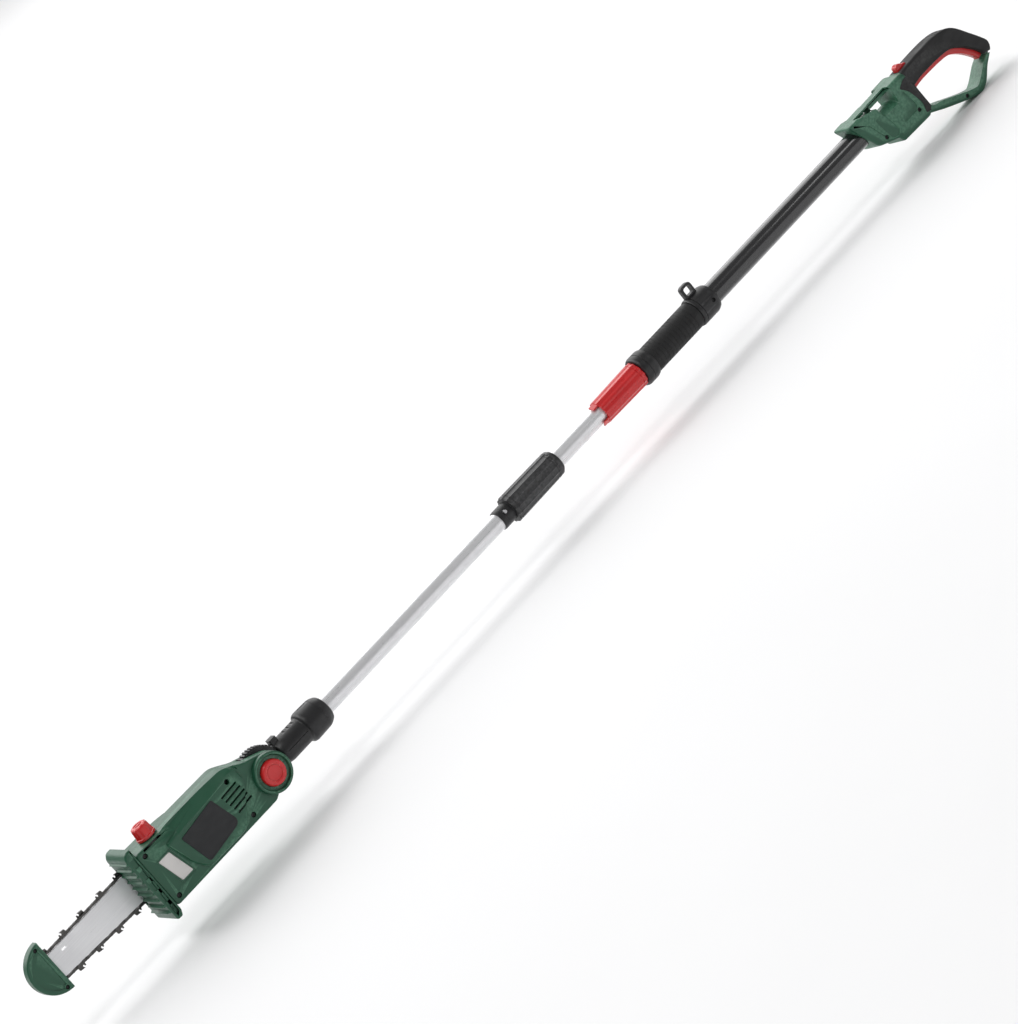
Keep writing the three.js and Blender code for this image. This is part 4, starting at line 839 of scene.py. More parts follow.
def bar():
    y0, y1 = BAR_Y - 2, BAR_Y + 2
    rear = SHAFT_X - 22
    shape = rounded([
        (rear, SHAFT_Z - 10, 4), (rear, SHAFT_Z + 10, 4), (RAIL_TOP_X, BAR_TOP, 12),
        *arc(NOSE_X, NOSE_Z, NOSE_R, 90, NOSE_RAIL, 40), (RAIL_BOTTOM_X, BAR_BOTTOM, 12),
    ])
    blade = slab(shape, y0, y1, 0.35, 2)
    rail = cut(slab(shape, BAR_Y - 0.7, BAR_Y + 0.7), slab(inset_outline(shape, 2.2), BAR_Y - 3, BAR_Y + 3))
    tools = [rail]
    stud_slot = box_outline(STUD_X - 9, STUD_X + 9, SHAFT_Z - 4.3, SHAFT_Z + 4.3, 3)
    nose_slot = box_outline(NOSE_X + 28, NOSE_X + 37, 26.5, 29.5, 1.5)
    tools += [slab(stud_slot, 0, REACH), slab(nose_slot, 0, REACH)]
    for angle in (20, 140, 260):
        turn = math.radians(angle)
        spot = (NOSE_X + 6 * math.cos(turn), 0, NOSE_Z + 6 * math.sin(turn))
        tools.append(rod("y", 1.3, y0 - 1, y0 + 0.4, spot, 24))
        tools.append(rod("y", 1.3, y1 - 0.4, y1 + 1, spot, 24))
    piece(cut(blade, *tools), "ground_bar", "guide_bar")


def chain_path(reach):
    corners = [
        *arc(SHAFT_X, SHAFT_Z, 15 + reach, -75, 75, 16), (RAIL_TOP_X, BAR_TOP + reach, 8),
        *arc(NOSE_X, NOSE_Z, NOSE_R + reach, 90, NOSE_RAIL, 30), (RAIL_BOTTOM_X, BAR_BOTTOM - reach, 8),
    ]
    return rounded(corners)


def along(points, distance):
    """Place and direction at a distance along the closed line."""
    for i, here in enumerate(points):
        step = points[(i + 1) % len(points)] - here
        if distance <= step.length:
            return here + step.normalized() * distance, step.normalized()
        distance -= step.length
    return points[0], (points[1] - points[0]).normalized()


LINK = 9.4  # between rivets


def chain():
    """Drive links, tie straps and cutters, each its own closed shape, riveted into one loop."""
    middle = chain_path(GAP + 2.6)
    total = sum((middle[(i + 1) % len(middle)] - p).length for i, p in enumerate(middle))
    count = 2 * round(total / LINK / 2)
    pitch = total / count
    strap = rounded([
        (-6.6, -1.9, 2), (-6.6, 2.1, 2), (0, 1.5, 2), (6.6, 2.1, 2), (6.6, -1.9, 2), (0, -1.3, 2),
    ], 3)
    drive = rounded([(-6.2, -2.0, 1.5), (-6.2, 2.2, 2), (6.2, 2.2, 2), (6.2, -2.0, 1.5), (0, -2.5, 2)], 3)
    cutter = rounded([
        (-6.6, -1.9, 2), (-6.6, 3, 1), (-5.6, 6.2, 0.6), (2.2, 7.1, 0.4), (0.6, 3.6, 1.5),
        (3, 2.2, 1.5), (4, 5.6, 1), (6, 5.4, 0.8), (6.6, -1.9, 2),
    ], 3)
    plate = rounded([(-5.8, 5.6), (-5.6, 6.4), (2.4, 7.3), (2.2, 6.3)], 2)
    bm = bmesh.new()

    outward = turning_side(middle)

    def prism(shape, place, heading, y0, y1):
        up = Vector((heading.y, -heading.x)) * outward
        outline = [place + heading * p.x + up * p.y for p in shape]
        rings = [[bm.verts.new(row(p.x, y, p.y)) for p in outline] for y in (y0, y1)]
        for i in range(len(outline)):
            j = (i + 1) % len(outline)
            bm.faces.new((rings[0][i], rings[0][j], rings[1][j], rings[1][i]))
        bm.faces.new(rings[0])
        bm.faces.new(rings[1])

    rivet = [Vector((1.5 * math.cos(t), 1.5 * math.sin(t))) for t in (math.pi * k / 6 for k in range(12))]
    for i in range(count):
        place, heading = along(middle, i * pitch)
        half_place, half_heading = along(middle, ((i + 0.5) * pitch) % total)
        prism(rivet, half_place, half_heading, BAR_Y - 2.8, BAR_Y + 2.8)
        if i % 2:
            prism(drive, place, heading, BAR_Y - 0.65, BAR_Y + 0.65)
            continue
        sides = [(-2.4, -1.1), (1.1, 2.4)]
        cutting = (i // 2) % 2 == 0
        left = (i // 4) % 2 == 0
        for k, (y0, y1) in enumerate(sides):
            link = cutter if cutting and (k == 0) == left else strap
            prism(link, place, heading, BAR_Y + y0, BAR_Y + y1)
        if cutting:
            y0, y1 = (-2.75, 0.6) if left else (-0.6, 2.75)
            prism(plate, place, heading, BAR_Y + y0, BAR_Y + y1)
    piece(as_object("chain", bm), "chain_loop", "saw_chain")


def guard():
    x0, x1, y0, y1, z0, z1 = span("nose_guard")
    back = x1
    middle_z = (z0 + z1) / 2
    depth = x1 - x0
    half = (z1 - z0) / 2

    def moon(inset, overshoot):
        steps = 40
        curve = []
        for i in range(1, steps):
            turn = math.pi * i / steps
            reach = (depth - inset) * math.sin(turn)
            curve.append((back - reach, middle_z + (half - inset) * math.cos(turn)))
        return rounded([
            (back + overshoot, middle_z + half - inset, 0), *curve,
            (back + overshoot, middle_z - half + inset, 0),
        ])

    shield = slab(moon(0, 0), y0, y1, 2, 4)
    tools = [slab(moon(2.6, 10), BAR_Y - 3.8, BAR_Y + 3.8)]
    tools += [slab(moon(6, -7), y0 - 3, y0 + 1.6), slab(moon(6, -7), y1 - 1.6, y1 + 3)]
    shield = cut(shield, *tools)
    spots = [sum(span(f"guard_screw_{i}")[0:2]) / 2 for i in (1, 2)]
    heights = [sum(span(f"guard_screw_{i}")[4:6]) / 2 for i in (1, 2)]
    for x, z in zip(spots, heights):
        shield = add(shield, turned("y", [
            (y0 + 0.4, 0), (y0 + 0.4, 5, 0.8), (y0 + 2, 6), (y1 - 2, 6), (y1 - 0.4, 5, 0.8),
            (y1 - 0.4, 0),
        ], (x, 0, z)))
        hole = [rod("y", 3.15, y0 - 8, y0 + 3.6, (x, 0, z)), rod("y", 1.8, y0, y0 + 13.5, (x, 0, z))]
        shield = cut(shield, *hole)
    piece(shield, "nose_shield", "nose_guard", 0.5)


def screw_piece(node, direction=1):
    """A pan-head screw with a six-lobed socket, in the place of its CAD node along y."""
    x0, x1, y0, y1, z0, z1 = span(node)
    head_r = (x1 - x0) / 2
    shank_r = head_r / 1.9
    centre = ((x0 + x1) / 2, 0, (z0 + z1) / 2)
    head = turned("y", [
        (y0, 0), (y0, head_r * 0.7, 0.5), (y0 + 0.7, head_r, 0.4), (y0 + 2.4, head_r, 0.2),
        (y0 + 2.4, shank_r, 0.2), (y1 - 1, shank_r, 0.3), (y1, shank_r * 0.5, 0.2), (y1, 0),
    ], centre, 48)
    lobes = []
    for i in range(48):
        turn = 2 * math.pi * i / 48
        reach = head_r * (0.42 + 0.09 * math.cos(6 * turn))
        lobes.append((centre[0] + reach * math.cos(turn), centre[2] + reach * math.sin(turn)))
    piece(cut(head, slab(lobes, y0 - 1, y0 + 1.5)), f"{node}_torx", node, 0, "dark_screw", 40)


# ---------------------------------------------------------------- cap, button and neck


def oil_filler_cap():
    """A faceted cap that narrows upwards."""
    x0, x1, y0, y1, z0, z1 = span("oil_cap")
    radius = (x1 - x0) / 2
    facets = 10
    each = 8
    count = facets * each
    rings = []
    profile = [
        (z0, 0.8, 0), (z0 + 0.6, 0, 0.1), (z0 + 4, 0, 0.2), (z0 + 4.6, 0.8, 0.6), (z1 - 4, 1.8, 0.7),
        (z1 - 1.4, 2.8, 0.6), (z1, 5.2, 0.2),
    ]
    for z, drawn, depth in profile:
        ring_points = []
        for i in range(count):
            turn = 2 * math.pi * i / count
            wave = abs(math.sin(turn * facets / 2)) ** 1.5
            reach = radius - drawn - 1.5 * depth * wave
            ring_points.append((FILLER_X + reach * math.cos(turn), FILLER_Y + reach * math.sin(turn), z))
        rings.append(ring_points)
    cap = as_object("cap", lofted(rings))
    dish = turned("z", [
        (z1 - 1.2, 0), (z1 - 1.2, radius - 9, 0.6), (z1 + 1, radius - 7.4), (z1 + 1, 0),
    ], (FILLER_X, FILLER_Y, 0))
    cap = cut(cap, dish, rod("z", 10.3, z0 - 5, HEAD_TOP + 4.3, (FILLER_X, FILLER_Y, 0)))
    grip_bar = slab(rounded([
        (FILLER_X - 6.5, z1 - 2, 0), (FILLER_X - 6, z1 - 0.1, 1), (FILLER_X + 6, z1 - 0.1, 1),
        (FILLER_X + 6.5, z1 - 2, 0),
    ]), FILLER_Y - 1.6, FILLER_Y + 1.6, 0.5)
    piece(add(cap, grip_bar), "oil_filler_cap", "oil_cap", 0.35)


def button():
    x0, x1, y0, y1, z0, z1 = span("tilt_button")
    radius = BUTTON_R
    knob = turned("y", [
        (y0 + 1.8, 0), (y0 + 1.2, radius * 0.45, 4), (y0, radius - 4.5, 3),
        (y0 + 0.6, radius - 1.6, 1.4), (y0 + 3.5, radius, 1.5), (y1, radius, 0.4), (y1, 0),
    ], steps=6)
    ring_groove = pipe("y", radius - 8.4, radius - 7.6, y0 - 1, y0 + 1.5, edge=0)
    piece(cut(knob, ring_groove), "tilt_release_button", "tilt_button", 0.2)


def neck_piece():
    neck_start = 35
    x0, x1, y0, y1, z0, z1 = span("neck")
    collar_r = y1
    collar_x = x1 - 42
    barrel_r = 20.5
    teeth = 13
    spread_deg = 8
    rim = []
    for i in range(teeth):
        angle = 118 - i * spread_deg
        rim += arc(0, 0, TILT_DISC_R, angle, angle - spread_deg / 2, 3)
        rim += arc(0, 0, TILT_DISC_R - 3, angle - spread_deg / 2 - 1, angle - spread_deg + 1, 2)
    disc_shape = rounded(
        [*rim, (TILT_DISC_R + 4, 16), (TILT_DISC_R + 4, -16), *arc(0, 0, TILT_DISC_R - 3, -28, -240, 48)]
    )
    disc = slab(disc_shape, -8, 8)
    barrel = turned("x", [
        (neck_start, 0), (neck_start, barrel_r - 3, 3), (neck_start + 10, barrel_r, 6),
        (collar_x - 4, barrel_r, 2), (collar_x - 2, collar_r - 1.5, 2), (collar_x + 3, collar_r, 2),
        (x1 - 10, collar_r - 1, 4), (x1 - 2, collar_r - 5, 3), (x1, collar_r - 8, 1), (x1, 0),
    ], steps=5)
    stop = block(neck_start, neck_start + 12, -7, 7, 14, barrel_r + 6, 1)
    body = add(disc, barrel, stop)
    tools = [
        rod("x", TUBE_R + GAP, x1 - 48 - GAP, x1 + 1, sides=96), rod("x", 5, neck_start + 20, x1),
        rod("y", 6.3, -60, 60), pipe("x", collar_r - 1.2, collar_r + 4, x1 - 16, x1 - 14.6, edge=0),
        block(neck_start + 6, collar_x - 6, -40, -barrel_r + 1.2, -0.6, 0.6),
        block(collar_x + 8, x1 - 18, -1.2, 1.2, collar_r - 3, collar_r + 5),
    ]
    for i in range(3):
        tools.append(block(
            neck_start + 22 + i * 9, neck_start + 27 + i * 9, -8, 8, barrel_r - 1.5, barrel_r + 5,
        ))
    piece(cut(body, *tools), "neck_socket", "neck", 0.45)


# ---------------------------------------------------------------- pole


def pole_tubes():
    for node, name in (("lower_tube", "lower_pole_tube"), ("upper_tube", "telescoping_tube")):
        x0, x1 = span(node)[:2]
        piece(pipe("x", TUBE_R - 1.6, TUBE_R, x0, x1, sides=128), name, node)
    x0, x1 = span("outer_tube")[:2]
    piece(pipe("x", OUTER_R - 1.8, OUTER_R, x0, x1, sides=128), "outer_pole_tube", "outer_tube")


def coupling():
    x0, x1, _, socket_r, _, _ = span("coupling_socket")
    fit = TUBE_R + GAP
    throat = TUBE_R + 2
    nut_x0, nut_x1, _, nut_r, _, _ = span("coupling_nut")
    socket = turned("x", [
        (x0, fit, 0.2), (x0, throat - 0.4, 0.6), (x0 + 3, throat, 0.5), (x0 + 8, throat, 0.3),
        (x0 + 8.4, throat - 0.5, 0.2), (x0 + 9.4, throat - 0.5, 0.2), (x0 + 9.8, throat, 0.3),
        (nut_x0 + 4.3, throat), (nut_x0 + 4.3, socket_r, 0.4), (x1, socket_r, 0.6), (x1, 9, 0.4),
        (nut_x0 + 34.3, 9), (nut_x0 + 34.3, fit),
    ], steps=3)
    pin_x = sum(span("coupling_pin")[:2]) / 2
    pin_z = sum(span("coupling_pin")[4:]) / 2
    piece(cut(socket, rod("y", 2.9, -30, -8, (pin_x, 0, pin_z))), "coupling_throat", "coupling_socket")
    x0, x1, _, plug_r, _, _ = span("coupling_plug")
    plug = turned("x", [
        (x0, 6, 0.3), (x0, plug_r, 0.6), (x1, plug_r, 0.6), (x1, fit, 0.3), (x0 + 12, fit),
        (x0 + 12, 6),
    ])
    piece(plug, "coupling_insert", "coupling_plug")
    nut = fluted(nut_x0, nut_x1 - 6, nut_r, nut_r - 1, 14, 1.3, 12, 1.8, 1)
    collar = turned("x", [
        (nut_x1 - 9, 0), (nut_x1 - 9, nut_r - 1.5), (nut_x1 - 3.4, nut_r - 1.5, 0.8),
        (nut_x1 - 3, nut_r - 4, 0.6), (nut_x1, nut_r - 4.2, 0.8), (nut_x1, 0),
    ])
    nut = add(nut, collar)
    nut = cut(
        nut, rod("x", throat + GAP, nut_x0 - 1, nut_x0 + 5, sides=96),
        rod("x", socket_r + GAP, nut_x0 + 4, nut_x1 - 4, sides=96),
        rod("x", fit, nut_x1 - 5, nut_x1 + 1, sides=96),
        pipe("x", nut_r - 1.6, nut_r + 3, nut_x0 + 7, nut_x0 + 8.6, edge=0),
        pipe("x", nut_r - 2.6, nut_r + 3, nut_x1 - 14, nut_x1 - 12.4, edge=0),
    )
    piece(nut, "ribbed_nut", "coupling_nut", 0.3)


def twist_lock():
    x0, x1, _, radius, _, _ = span("lock_sleeve")
    lock_x = x0 + 10
    sleeve = fluted(lock_x, x1, TUBE_R + 6, OUTER_R + 4, 12, 1.2, 12, 1.4)
    ears = []
    for i in range(3):
        ear = block(x0, lock_x + 4, -6, 6, TUBE_R + 1.2, TUBE_R + 3.8, 1.2)
        turn = Matrix.Rotation(math.radians(120 * i + 20), 4, "X")
        ear.data.transform(Matrix.Translation(PIVOT) @ turn @ Matrix.Translation(-PIVOT))
        ears.append(ear)
    bore = OUTER_R + 0.6
    room = turned("x", [
        (lock_x + 7, 0), (lock_x + 7, TUBE_R + 2.4), (lock_x + 13, bore), (x1 + 1, bore), (x1 + 1, 0),
    ])
    sleeve = add(sleeve, *ears)
    sleeve = cut(
        sleeve, rod("x", TUBE_R + 1, x0 - 1, lock_x + 8, sides=96), room,
        pipe("x", OUTER_R + 2.6, OUTER_R + 8, x1 - 9, x1 - 7.6, edge=0),
    )
    piece(sleeve, "twist_lock_sleeve", "lock_sleeve", 0.3)


def fore_grip():
    bore = OUTER_R + GAP
    x0, x1, _, collar_r, _, _ = span("front_collar")
    collar = turned("x", [
        (x0, bore, 0.3), (x0, collar_r - 2, 1.5), (x0 + 4, collar_r, 1.5), (x0 + 10, collar_r, 0.4),
        (x0 + 10.5, collar_r - 0.9, 0.3), (x0 + 12, collar_r - 0.9, 0.3), (x0 + 12.5, collar_r, 0.4),
        (x1 - 5, collar_r, 2), (x1, collar_r - 1.5, 0.8), (x1, bore, 0.3),
    ], steps=4)
    piece(collar, "grip_front_collar", "front_collar")
    x0, x1, _, grip_r, _, _ = span("front_grip")
    profile = [(x0, bore, 0.3), (x0, grip_r - 0.2, 0.8)]
    rings = 12
    pitch = (x1 - x0 - 16) / rings
    for i in range(rings):
        x = x0 + 8 + i * pitch
        profile += [
            (x, grip_r, 0.6), (x + 0.5, grip_r - 0.7, 0.3), (x + 1.6, grip_r - 0.7, 0.3),
            (x + 2.1, grip_r, 0.6),
        ]
    profile += [(x1, grip_r - 0.2, 0.8), (x1, bore, 0.3)]
    grip = turned("x", profile, steps=2)
    piece(grip, "foam_fore_grip", "front_grip")
    strap_collar(bore)


def strap_collar(bore):
    x0, x1, y0, _, z0, z1 = span("rear_collar")
    radius = -y0
    body = turned("x", [
        (x0, bore, 0.3), (x0, radius - 1, 1), (x0 + 3, radius, 1.5), (x1 - 8, radius, 2),
        (x1 - 2, radius - 2, 2), (x1, radius - 4, 1), (x1, bore, 0.3),
    ], steps=4)
    eye_x = x0 + 14
    eye = slab(rounded([
        (eye_x - 9, radius - 4), (eye_x - 9, z1, 7), (eye_x + 13, z1, 7), (eye_x + 13, radius - 4),
    ]), -5, 5, 1.6)
    eye = cut(eye, rod("x", OUTER_R + 2, x0 - 2, x1 + 2, sides=96))
    hole = slab(rounded([
        (eye_x - 5, radius + 2, 3), (eye_x - 5, z1 - 4, 4), (eye_x + 9, z1 - 4, 4),
        (eye_x + 9, radius + 2, 3),
    ]), -10, 10)
    screw_x = x1 - 13
    body = cut(
        add(body, eye), hole, *screw_hole(screw_x, 0, 3.34, -radius + 3.9, 1.9, -radius + 5.6),
        pipe("x", radius - 0.9, radius + 0.8, x0 + 6, x0 + 7.4, edge=0),
    )
    piece(body, "strap_collar", "rear_collar", 0.4)
    screw_piece("strap_screw")


# ---------------------------------------------------------------- handle

D_OUTER = [(-6, 28), (22, 30), (54, 31), (87, 30), (112, 25), (128, 14), (144, -8), (157, -27), (163, -40)]
D_OUTER += [(157, -53), (136, -68), (119, -83), (104, -90), (86, -88), (61, -79), (27, -65)]
D_INNER = [(6, -3), (34, 0), (85, -2), (107, -9), (128, -26), (144, -50), (130, -60), (104, -76), (92, -77)]
D_INNER += [(68, -68), (34, -53), (8, -42)]
GRIP_POINTS = 10
TRIGGER_POINTS = 6
GRIP_HALF = 16
BRIDGE_HALF = 9
GRIP_SKIN = 3
SMOOTH = 5
MOUTH_TOP = OUTER_R + 12.5
MOUTH_BOTTOM = -OUTER_R - 9.5
SLOT = (HANDLE_X + 40, HANDLE_X + 80, 7, 21.5)
HANDLE_SCREWS = [(HANDLE_X + 24, MOUTH_BOTTOM + 3), (HOUSING_END - 18, -32), (HOUSING_END + 72, -77)]


def at(points):
    return [Vector((HOUSING_END + p[0], p[1])) for p in points]


def belly(inset):
    return [
        (HANDLE_X + 48 + inset, -51 + inset, 4), (HANDLE_X + 44 + inset, -42 + inset, 3),
        (HANDLE_X + 6 + inset, MOUTH_BOTTOM + inset, 6),
    ]


def housing_outline(inset):
    return rounded([
        (HANDLE_X - 20 + inset, MOUTH_TOP - inset, 7), (HOUSING_END - inset, 31 - inset, 12),
        (HOUSING_END - inset, -53 + inset, 10), *belly(inset),
    ])


def handle_outline():
    outer = spline(at(D_OUTER), SMOOTH)
    return rounded(
        [(HANDLE_X, MOUTH_TOP - 6), *[(p.x, p.y) for p in outer], (HOUSING_END + 2, -53), *belly(0)]
    )


def grip_member(inset, further=0):
    """The upper member of the D between its edges, drawn in by inset; further lengthens its rear end."""
    outer = spline(at(D_OUTER), SMOOTH)[: (GRIP_POINTS - 1 + further) * SMOOTH + 1]
    inner = spline(at(D_INNER), SMOOTH)[: (TRIGGER_POINTS - 1 + further) * SMOOTH + 1]
    return offset_line(outer, inset) + offset_line(inner, -inset)[::-1]


def trigger_band(below, above):
    edge = spline(at(D_INNER), SMOOTH)[: (TRIGGER_POINTS - 1) * SMOOTH + 1]
    return offset_line(edge, below) + offset_line(edge, -above)[::-1]


def lock_off_room():
    return block(HOUSING_END + 3, HOUSING_END + 25, -7.4, 7.4, 12, 60)


def behind(x):
    """Everything of the handle to the rear of x."""
    return block(x, HOUSING_END + 300, -REACH, REACH, -120, REACH)


def through(shape):
    """The outline taken right through the handle."""
    return slab(shape, -REACH, REACH)


def slot_cuts():
    """The see-through slot under the bridge, the sloping shoulders in front of it and the gap beside it."""
    x0, x1, z0, z1 = SLOT
    bridge = slab(
        [(HANDLE_X, z1), (HOUSING_END, z1), (HOUSING_END, 60), (HANDLE_X, 60)], -BRIDGE_HALF, BRIDGE_HALF,
    )
    levels = []
    for y, fall in ((-40, 14), (-8, 0), (8, 0), (40, 14)):
        floor_z = z0 - fall
        ramp = rounded([(x0 - 5, 60), (x0 - 2, 22, 6), (x0 + 2, floor_z, 5), (x1, floor_z, 3), (x1, 60)])
        levels.append([(p.x, y, p.y) for p in ramp])
    notch = cut(as_object("notch", lofted(levels)), bridge)
    shoulder = rounded([
        (HANDLE_X - 2, 60), (HANDLE_X - 1, 30, 6), (x0 - 3, 20.5, 6), (x0 + 6, 18), (x0 + 6, 60),
    ])
    gap_line = [
        (HANDLE_X - 4, 27), (HANDLE_X + 4, 24.5), (x0, 19), (x0, 16.5), (HANDLE_X + 4, 22),
        (HANDLE_X - 4, 24.5),
    ]
    shoulders = [slab(shoulder, -REACH, -BRIDGE_HALF - 2), slab(shoulder, BRIDGE_HALF + 2, REACH)]
    return [notch, *shoulders, slab(gap_line, -11.5, -7), slab(gap_line, 7, 11.5)]


def side_cuts():
    """The thin line and the two shallow panels on each side of the housing."""
    x0, x1 = SLOT[:2]
    line = [(HANDLE_X + 9, 10), (HANDLE_X + 10.5, 10), (HANDLE_X + 22, -20), (HANDLE_X + 20.5, -20)]
    front = rounded([
        (x0 - 16, 8, 5), (x0 + 3, 8, 2), (x0 + 11, -30, 2), (x0 + 4, -36, 5), (x0 - 8, -34, 8),
        (x0 - 12, -16, 8),
    ])
    rear = rounded([
        (x0 + 16, 5, 3), (x1 + 16, 8, 4), (x1 + 22, -22, 6), (x1 + 16, -30, 6), (x0 + 26, -30, 3),
    ])
    tools = []
    for side in (-1, 1):
        y0, y1 = sorted((side * (HANDLE_HALF - 0.8), side * (HANDLE_HALF + 4)))
        tools += [slab(line, y0, y1), slab(front, y0, y1, 0.6, 2), slab(rear, y0, y1, 0.6, 2)]
    return tools


def edge_cuts(edge, places, shape, half):
    """Short cutting bars set across a line; a bar's corners are (along, outward) of its place."""
    bars = []
    for i in places:
        heading = (edge[i + 1] - edge[i - 1]).normalized()
        outward = Vector((-heading.y, heading.x))
        bars.append(slab([edge[i] + heading * a + outward * b for a, b in shape], -half, half))
    return bars


def handle_shells():
    housing = slab(housing_outline(0), -HANDLE_HALF, HANDLE_HALF, 6, 6)
    rim = slab(handle_outline(), -GRIP_HALF, GRIP_HALF, 4, 5)
    band_room = keep(through(grip_member(-6)), behind(HOUSING_END + GAP))
    core_half = GRIP_HALF - GRIP_SKIN - GAP
    core = keep(slab(grip_member(GRIP_SKIN + GAP, 1), -core_half, core_half), behind(HOUSING_END))
    rim = cut(rim, through(spline(at(D_INNER), SMOOTH, True)), band_room)
    rim = add(rim, core)
    cavity = slab(housing_outline(WALL), -HANDLE_HALF + WALL, HANDLE_HALF - WALL)
    rear_part = block(HOUSING_END - 6, HOUSING_END + 300, -REACH, REACH, -80, REACH)
    x0, x1, z0 = SLOT[:3]
    slot_fill = block(x0 - WALL, x1 + WALL, -HANDLE_HALF + 1, HANDLE_HALF - 1, z0 - 14, 26)
    throat = pipe("x", OUTER_R + GAP, OUTER_R + GAP + WALL, HANDLE_X - 10, HANDLE_X + 36, edge=0)
    throat = keep(throat, slab(housing_outline(0.5), -HANDLE_HALF + 1, HANDLE_HALF - 1))
    rim = cut(rim, cut(copy_of(cavity), rear_part))
    slot_fill = keep(slot_fill, through(housing_outline(0.2)))
    body = add(cut(housing, cavity), slot_fill, rim, throat)
    posts = [keep(rod("y", 4.5, -13, 13, (x, 0, z)), through(handle_outline())) for x, z in HANDLE_SCREWS]
    body = add(body, *posts)
    slot_tools = slot_cuts()
    tools = [
        rod("x", OUTER_R + GAP, HANDLE_X - 60, HANDLE_X + 34.3, sides=96),
        *slot_tools[:3],
        block(HANDLE_X + 52, HOUSING_END - WALL - 2, -19, 19, -60, -35),
        slab(trigger_band(8 + GAP, 11 + GAP), -7, 7),
        lock_off_room(),
        *slot_tools[3:],
    ]
    shape = ((-0.7, -1.2), (0.7, -1.2), (1.1, 3), (-1.1, 3))
    arm = range(11 * SMOOTH + 1, 15 * SMOOTH)
    tools += edge_cuts(spline(at(D_OUTER), SMOOTH), arm, shape, 12)
    for x, z in HANDLE_SCREWS:
        head_y = -GRIP_HALF + 1 if x > HOUSING_END else -HANDLE_HALF + 1
        tools += screw_hole(x, z, 3.75, head_y + 2.7, 2.1, 9)
    body = cut(body, *tools, *side_cuts())
    near = keep(copy_of(body), block(HANDLE_X - 60, HANDLE_X + 500, -80, -GAP / 2, -120, 80))
    far = keep(body, block(HANDLE_X - 60, HANDLE_X + 500, GAP / 2, 80, -120, 80))
    piece(near, "handle_housing_near", "handle_shell_near", 0.5)
    piece(far, "handle_housing_far", "handle_shell_far", 0.5)


def soft_grip():
    """The soft cover of the D's upper member, with fine ribs towards the rear of its top."""
    skin = keep(slab(grip_member(0), -GRIP_HALF - 1, GRIP_HALF + 1, 4, 6), behind(HOUSING_END + 2 * GAP))
    half = GRIP_HALF - GRIP_SKIN
    inner = slab(grip_member(GRIP_SKIN, 1), -half, half)
    groove = slab(trigger_band(8 + GAP, 11 + GAP), -7, 7)
    shape = ((-0.7, -1.1), (0.7, -1.1), (1.1, 3), (-1.1, 3))
    ribs = edge_cuts(spline(at(D_OUTER), SMOOTH), range(16, 42, 2), shape, REACH)
    skin = add(cut(skin, inner, groove, lock_off_room(), *ribs), *grip_liners())
    piece(skin, "soft_grip_cover", "soft_grip", 0.3)


def grip_liners():
    """Thin parts of the soft cover in front of the hand's opening and down its front edge."""
    side = at(rounded([
        (-25, 14, 3), (-10, 21, 4), (-0.4, 21, 1), (-0.4, -46, 1), (-11, -44, 4), (-5, -28, 8),
        (-14, 2, 6),
    ]))
    rim = at([(0.4, -1), (7, -1), (9, -44), (0.4, -50)])
    front = at([(5, -4), (7, -4), (9, -44), (6.5, -44)])
    liners = [slab(front, -GRIP_HALF - 0.5, GRIP_HALF + 0.5)]
    for sign in (-1, 1):
        for shape, half in ((side, HANDLE_HALF), (rim, GRIP_HALF)):
            y0, y1 = sorted((sign * (half - 0.4), sign * (half + 0.6)))
            liners.append(slab(shape, y0, y1, 0.3, 2))
    return liners


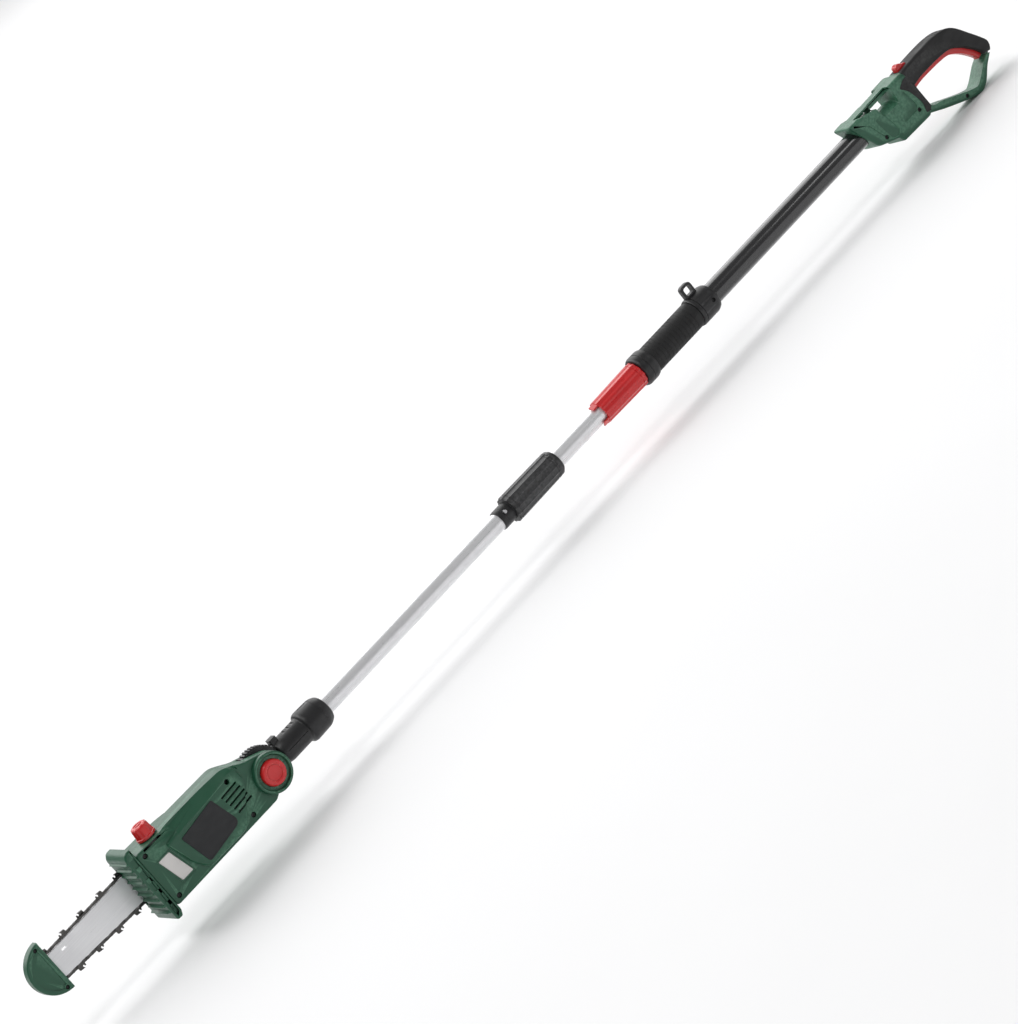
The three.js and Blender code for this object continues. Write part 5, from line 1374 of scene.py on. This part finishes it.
def controls():
    lever = slab(trigger_band(8, 1.5), -6.5, 6.5, 1.4, 4)
    edge = spline(at(D_INNER), SMOOTH)[: (TRIGGER_POINTS - 1) * SMOOTH + 1]
    shape = ((-0.8, -6.8), (0.8, -6.8), (0.8, -12), (-0.8, -12))
    teeth = edge_cuts(edge, range(13, len(edge) - 2), shape, 4.8)
    piece(cut(lever, *teeth), "trigger_lever", "trigger", 0.3)
    end = HOUSING_END
    hook = slab(rounded([
        (end + 4, 20), (end + 4, 36, 3), (end + 10, 38.8, 3), (end + 14, 38, 2), (end + 17, 34, 3),
        (end + 24, 32.6, 2), (end + 24, 20),
    ]), -6.8, 6.8, 1.4, 4)
    lines = [block(end + 5 + i * 2.4, end + 6 + i * 2.4, -4.6, 4.6, 37.2, 45) for i in range(4)]
    piece(cut(hook, *lines), "lock_off_slider", "lock_off", 0.25)


def dock():
    x0, x1, y0, y1, z0, z1 = span("battery_rails")
    deck = block(x0, x1, y0, y1, z1 - 3.5, z1, 0.4)
    rails = [block(x0, x1, y0, y0 + 3, z0, z1 - 3.4, 0.5), block(x0, x1, y1 - 3, y1, z0, z1 - 3.4, 0.5)]
    deck = add(deck, *rails)
    slots = [block(x0 + 6, x1 - 6, y - 1, y + 1, z1 - 4.5, z1 - 2.6) for y in (-9, -3, 3, 9)]
    piece(cut(deck, *slots), "battery_slide_rails", "battery_rails", 0.3)
    x0, x1, y0, y1, z0, z1 = span("contact_block")
    holder = block(x0, x1, y0, y1, z0, z1, 0.6)
    slots = [block(x0 + 2, x1 + 2, y - 0.8, y + 0.8, z0 - 1, z1 - 5) for y in (-6, -2, 2, 6)]
    piece(cut(holder, *slots), "contact_holder", "contact_block", 0.25)


def inner_nodes():
    """CAD nodes that stay as they are, mostly inside the housings, get their finish."""
    for name, node in frame["nodes"].items():
        if node.hide_render:
            continue
        finish = "spring_steel" if name == "button_spring" else SLOT_OF[name]
        node.data.materials.clear()
        node.data.materials.append(MATERIALS[finish])
        node.data.shade_smooth()
        node.data.set_sharp_from_angle(angle=math.radians(30))


# ---------------------------------------------------------------- the whole scene

place_camera()
light_studio()
floor()
head_shells()
head_trim()
bumper()
cover()
bar()
chain()
guard()
for number in (1, 2):
    screw_piece(f"guard_screw_{number}")
for number in (1, 2, 3, 4):
    screw_piece(f"head_screw_{number}")
oil_filler_cap()
button()
neck_piece()
pole_tubes()
coupling()
twist_lock()
fore_grip()
handle_shells()
for number in (1, 2, 3):
    screw_piece(f"handle_screw_{number}")
soft_grip()
controls()
dock()
inner_nodes()
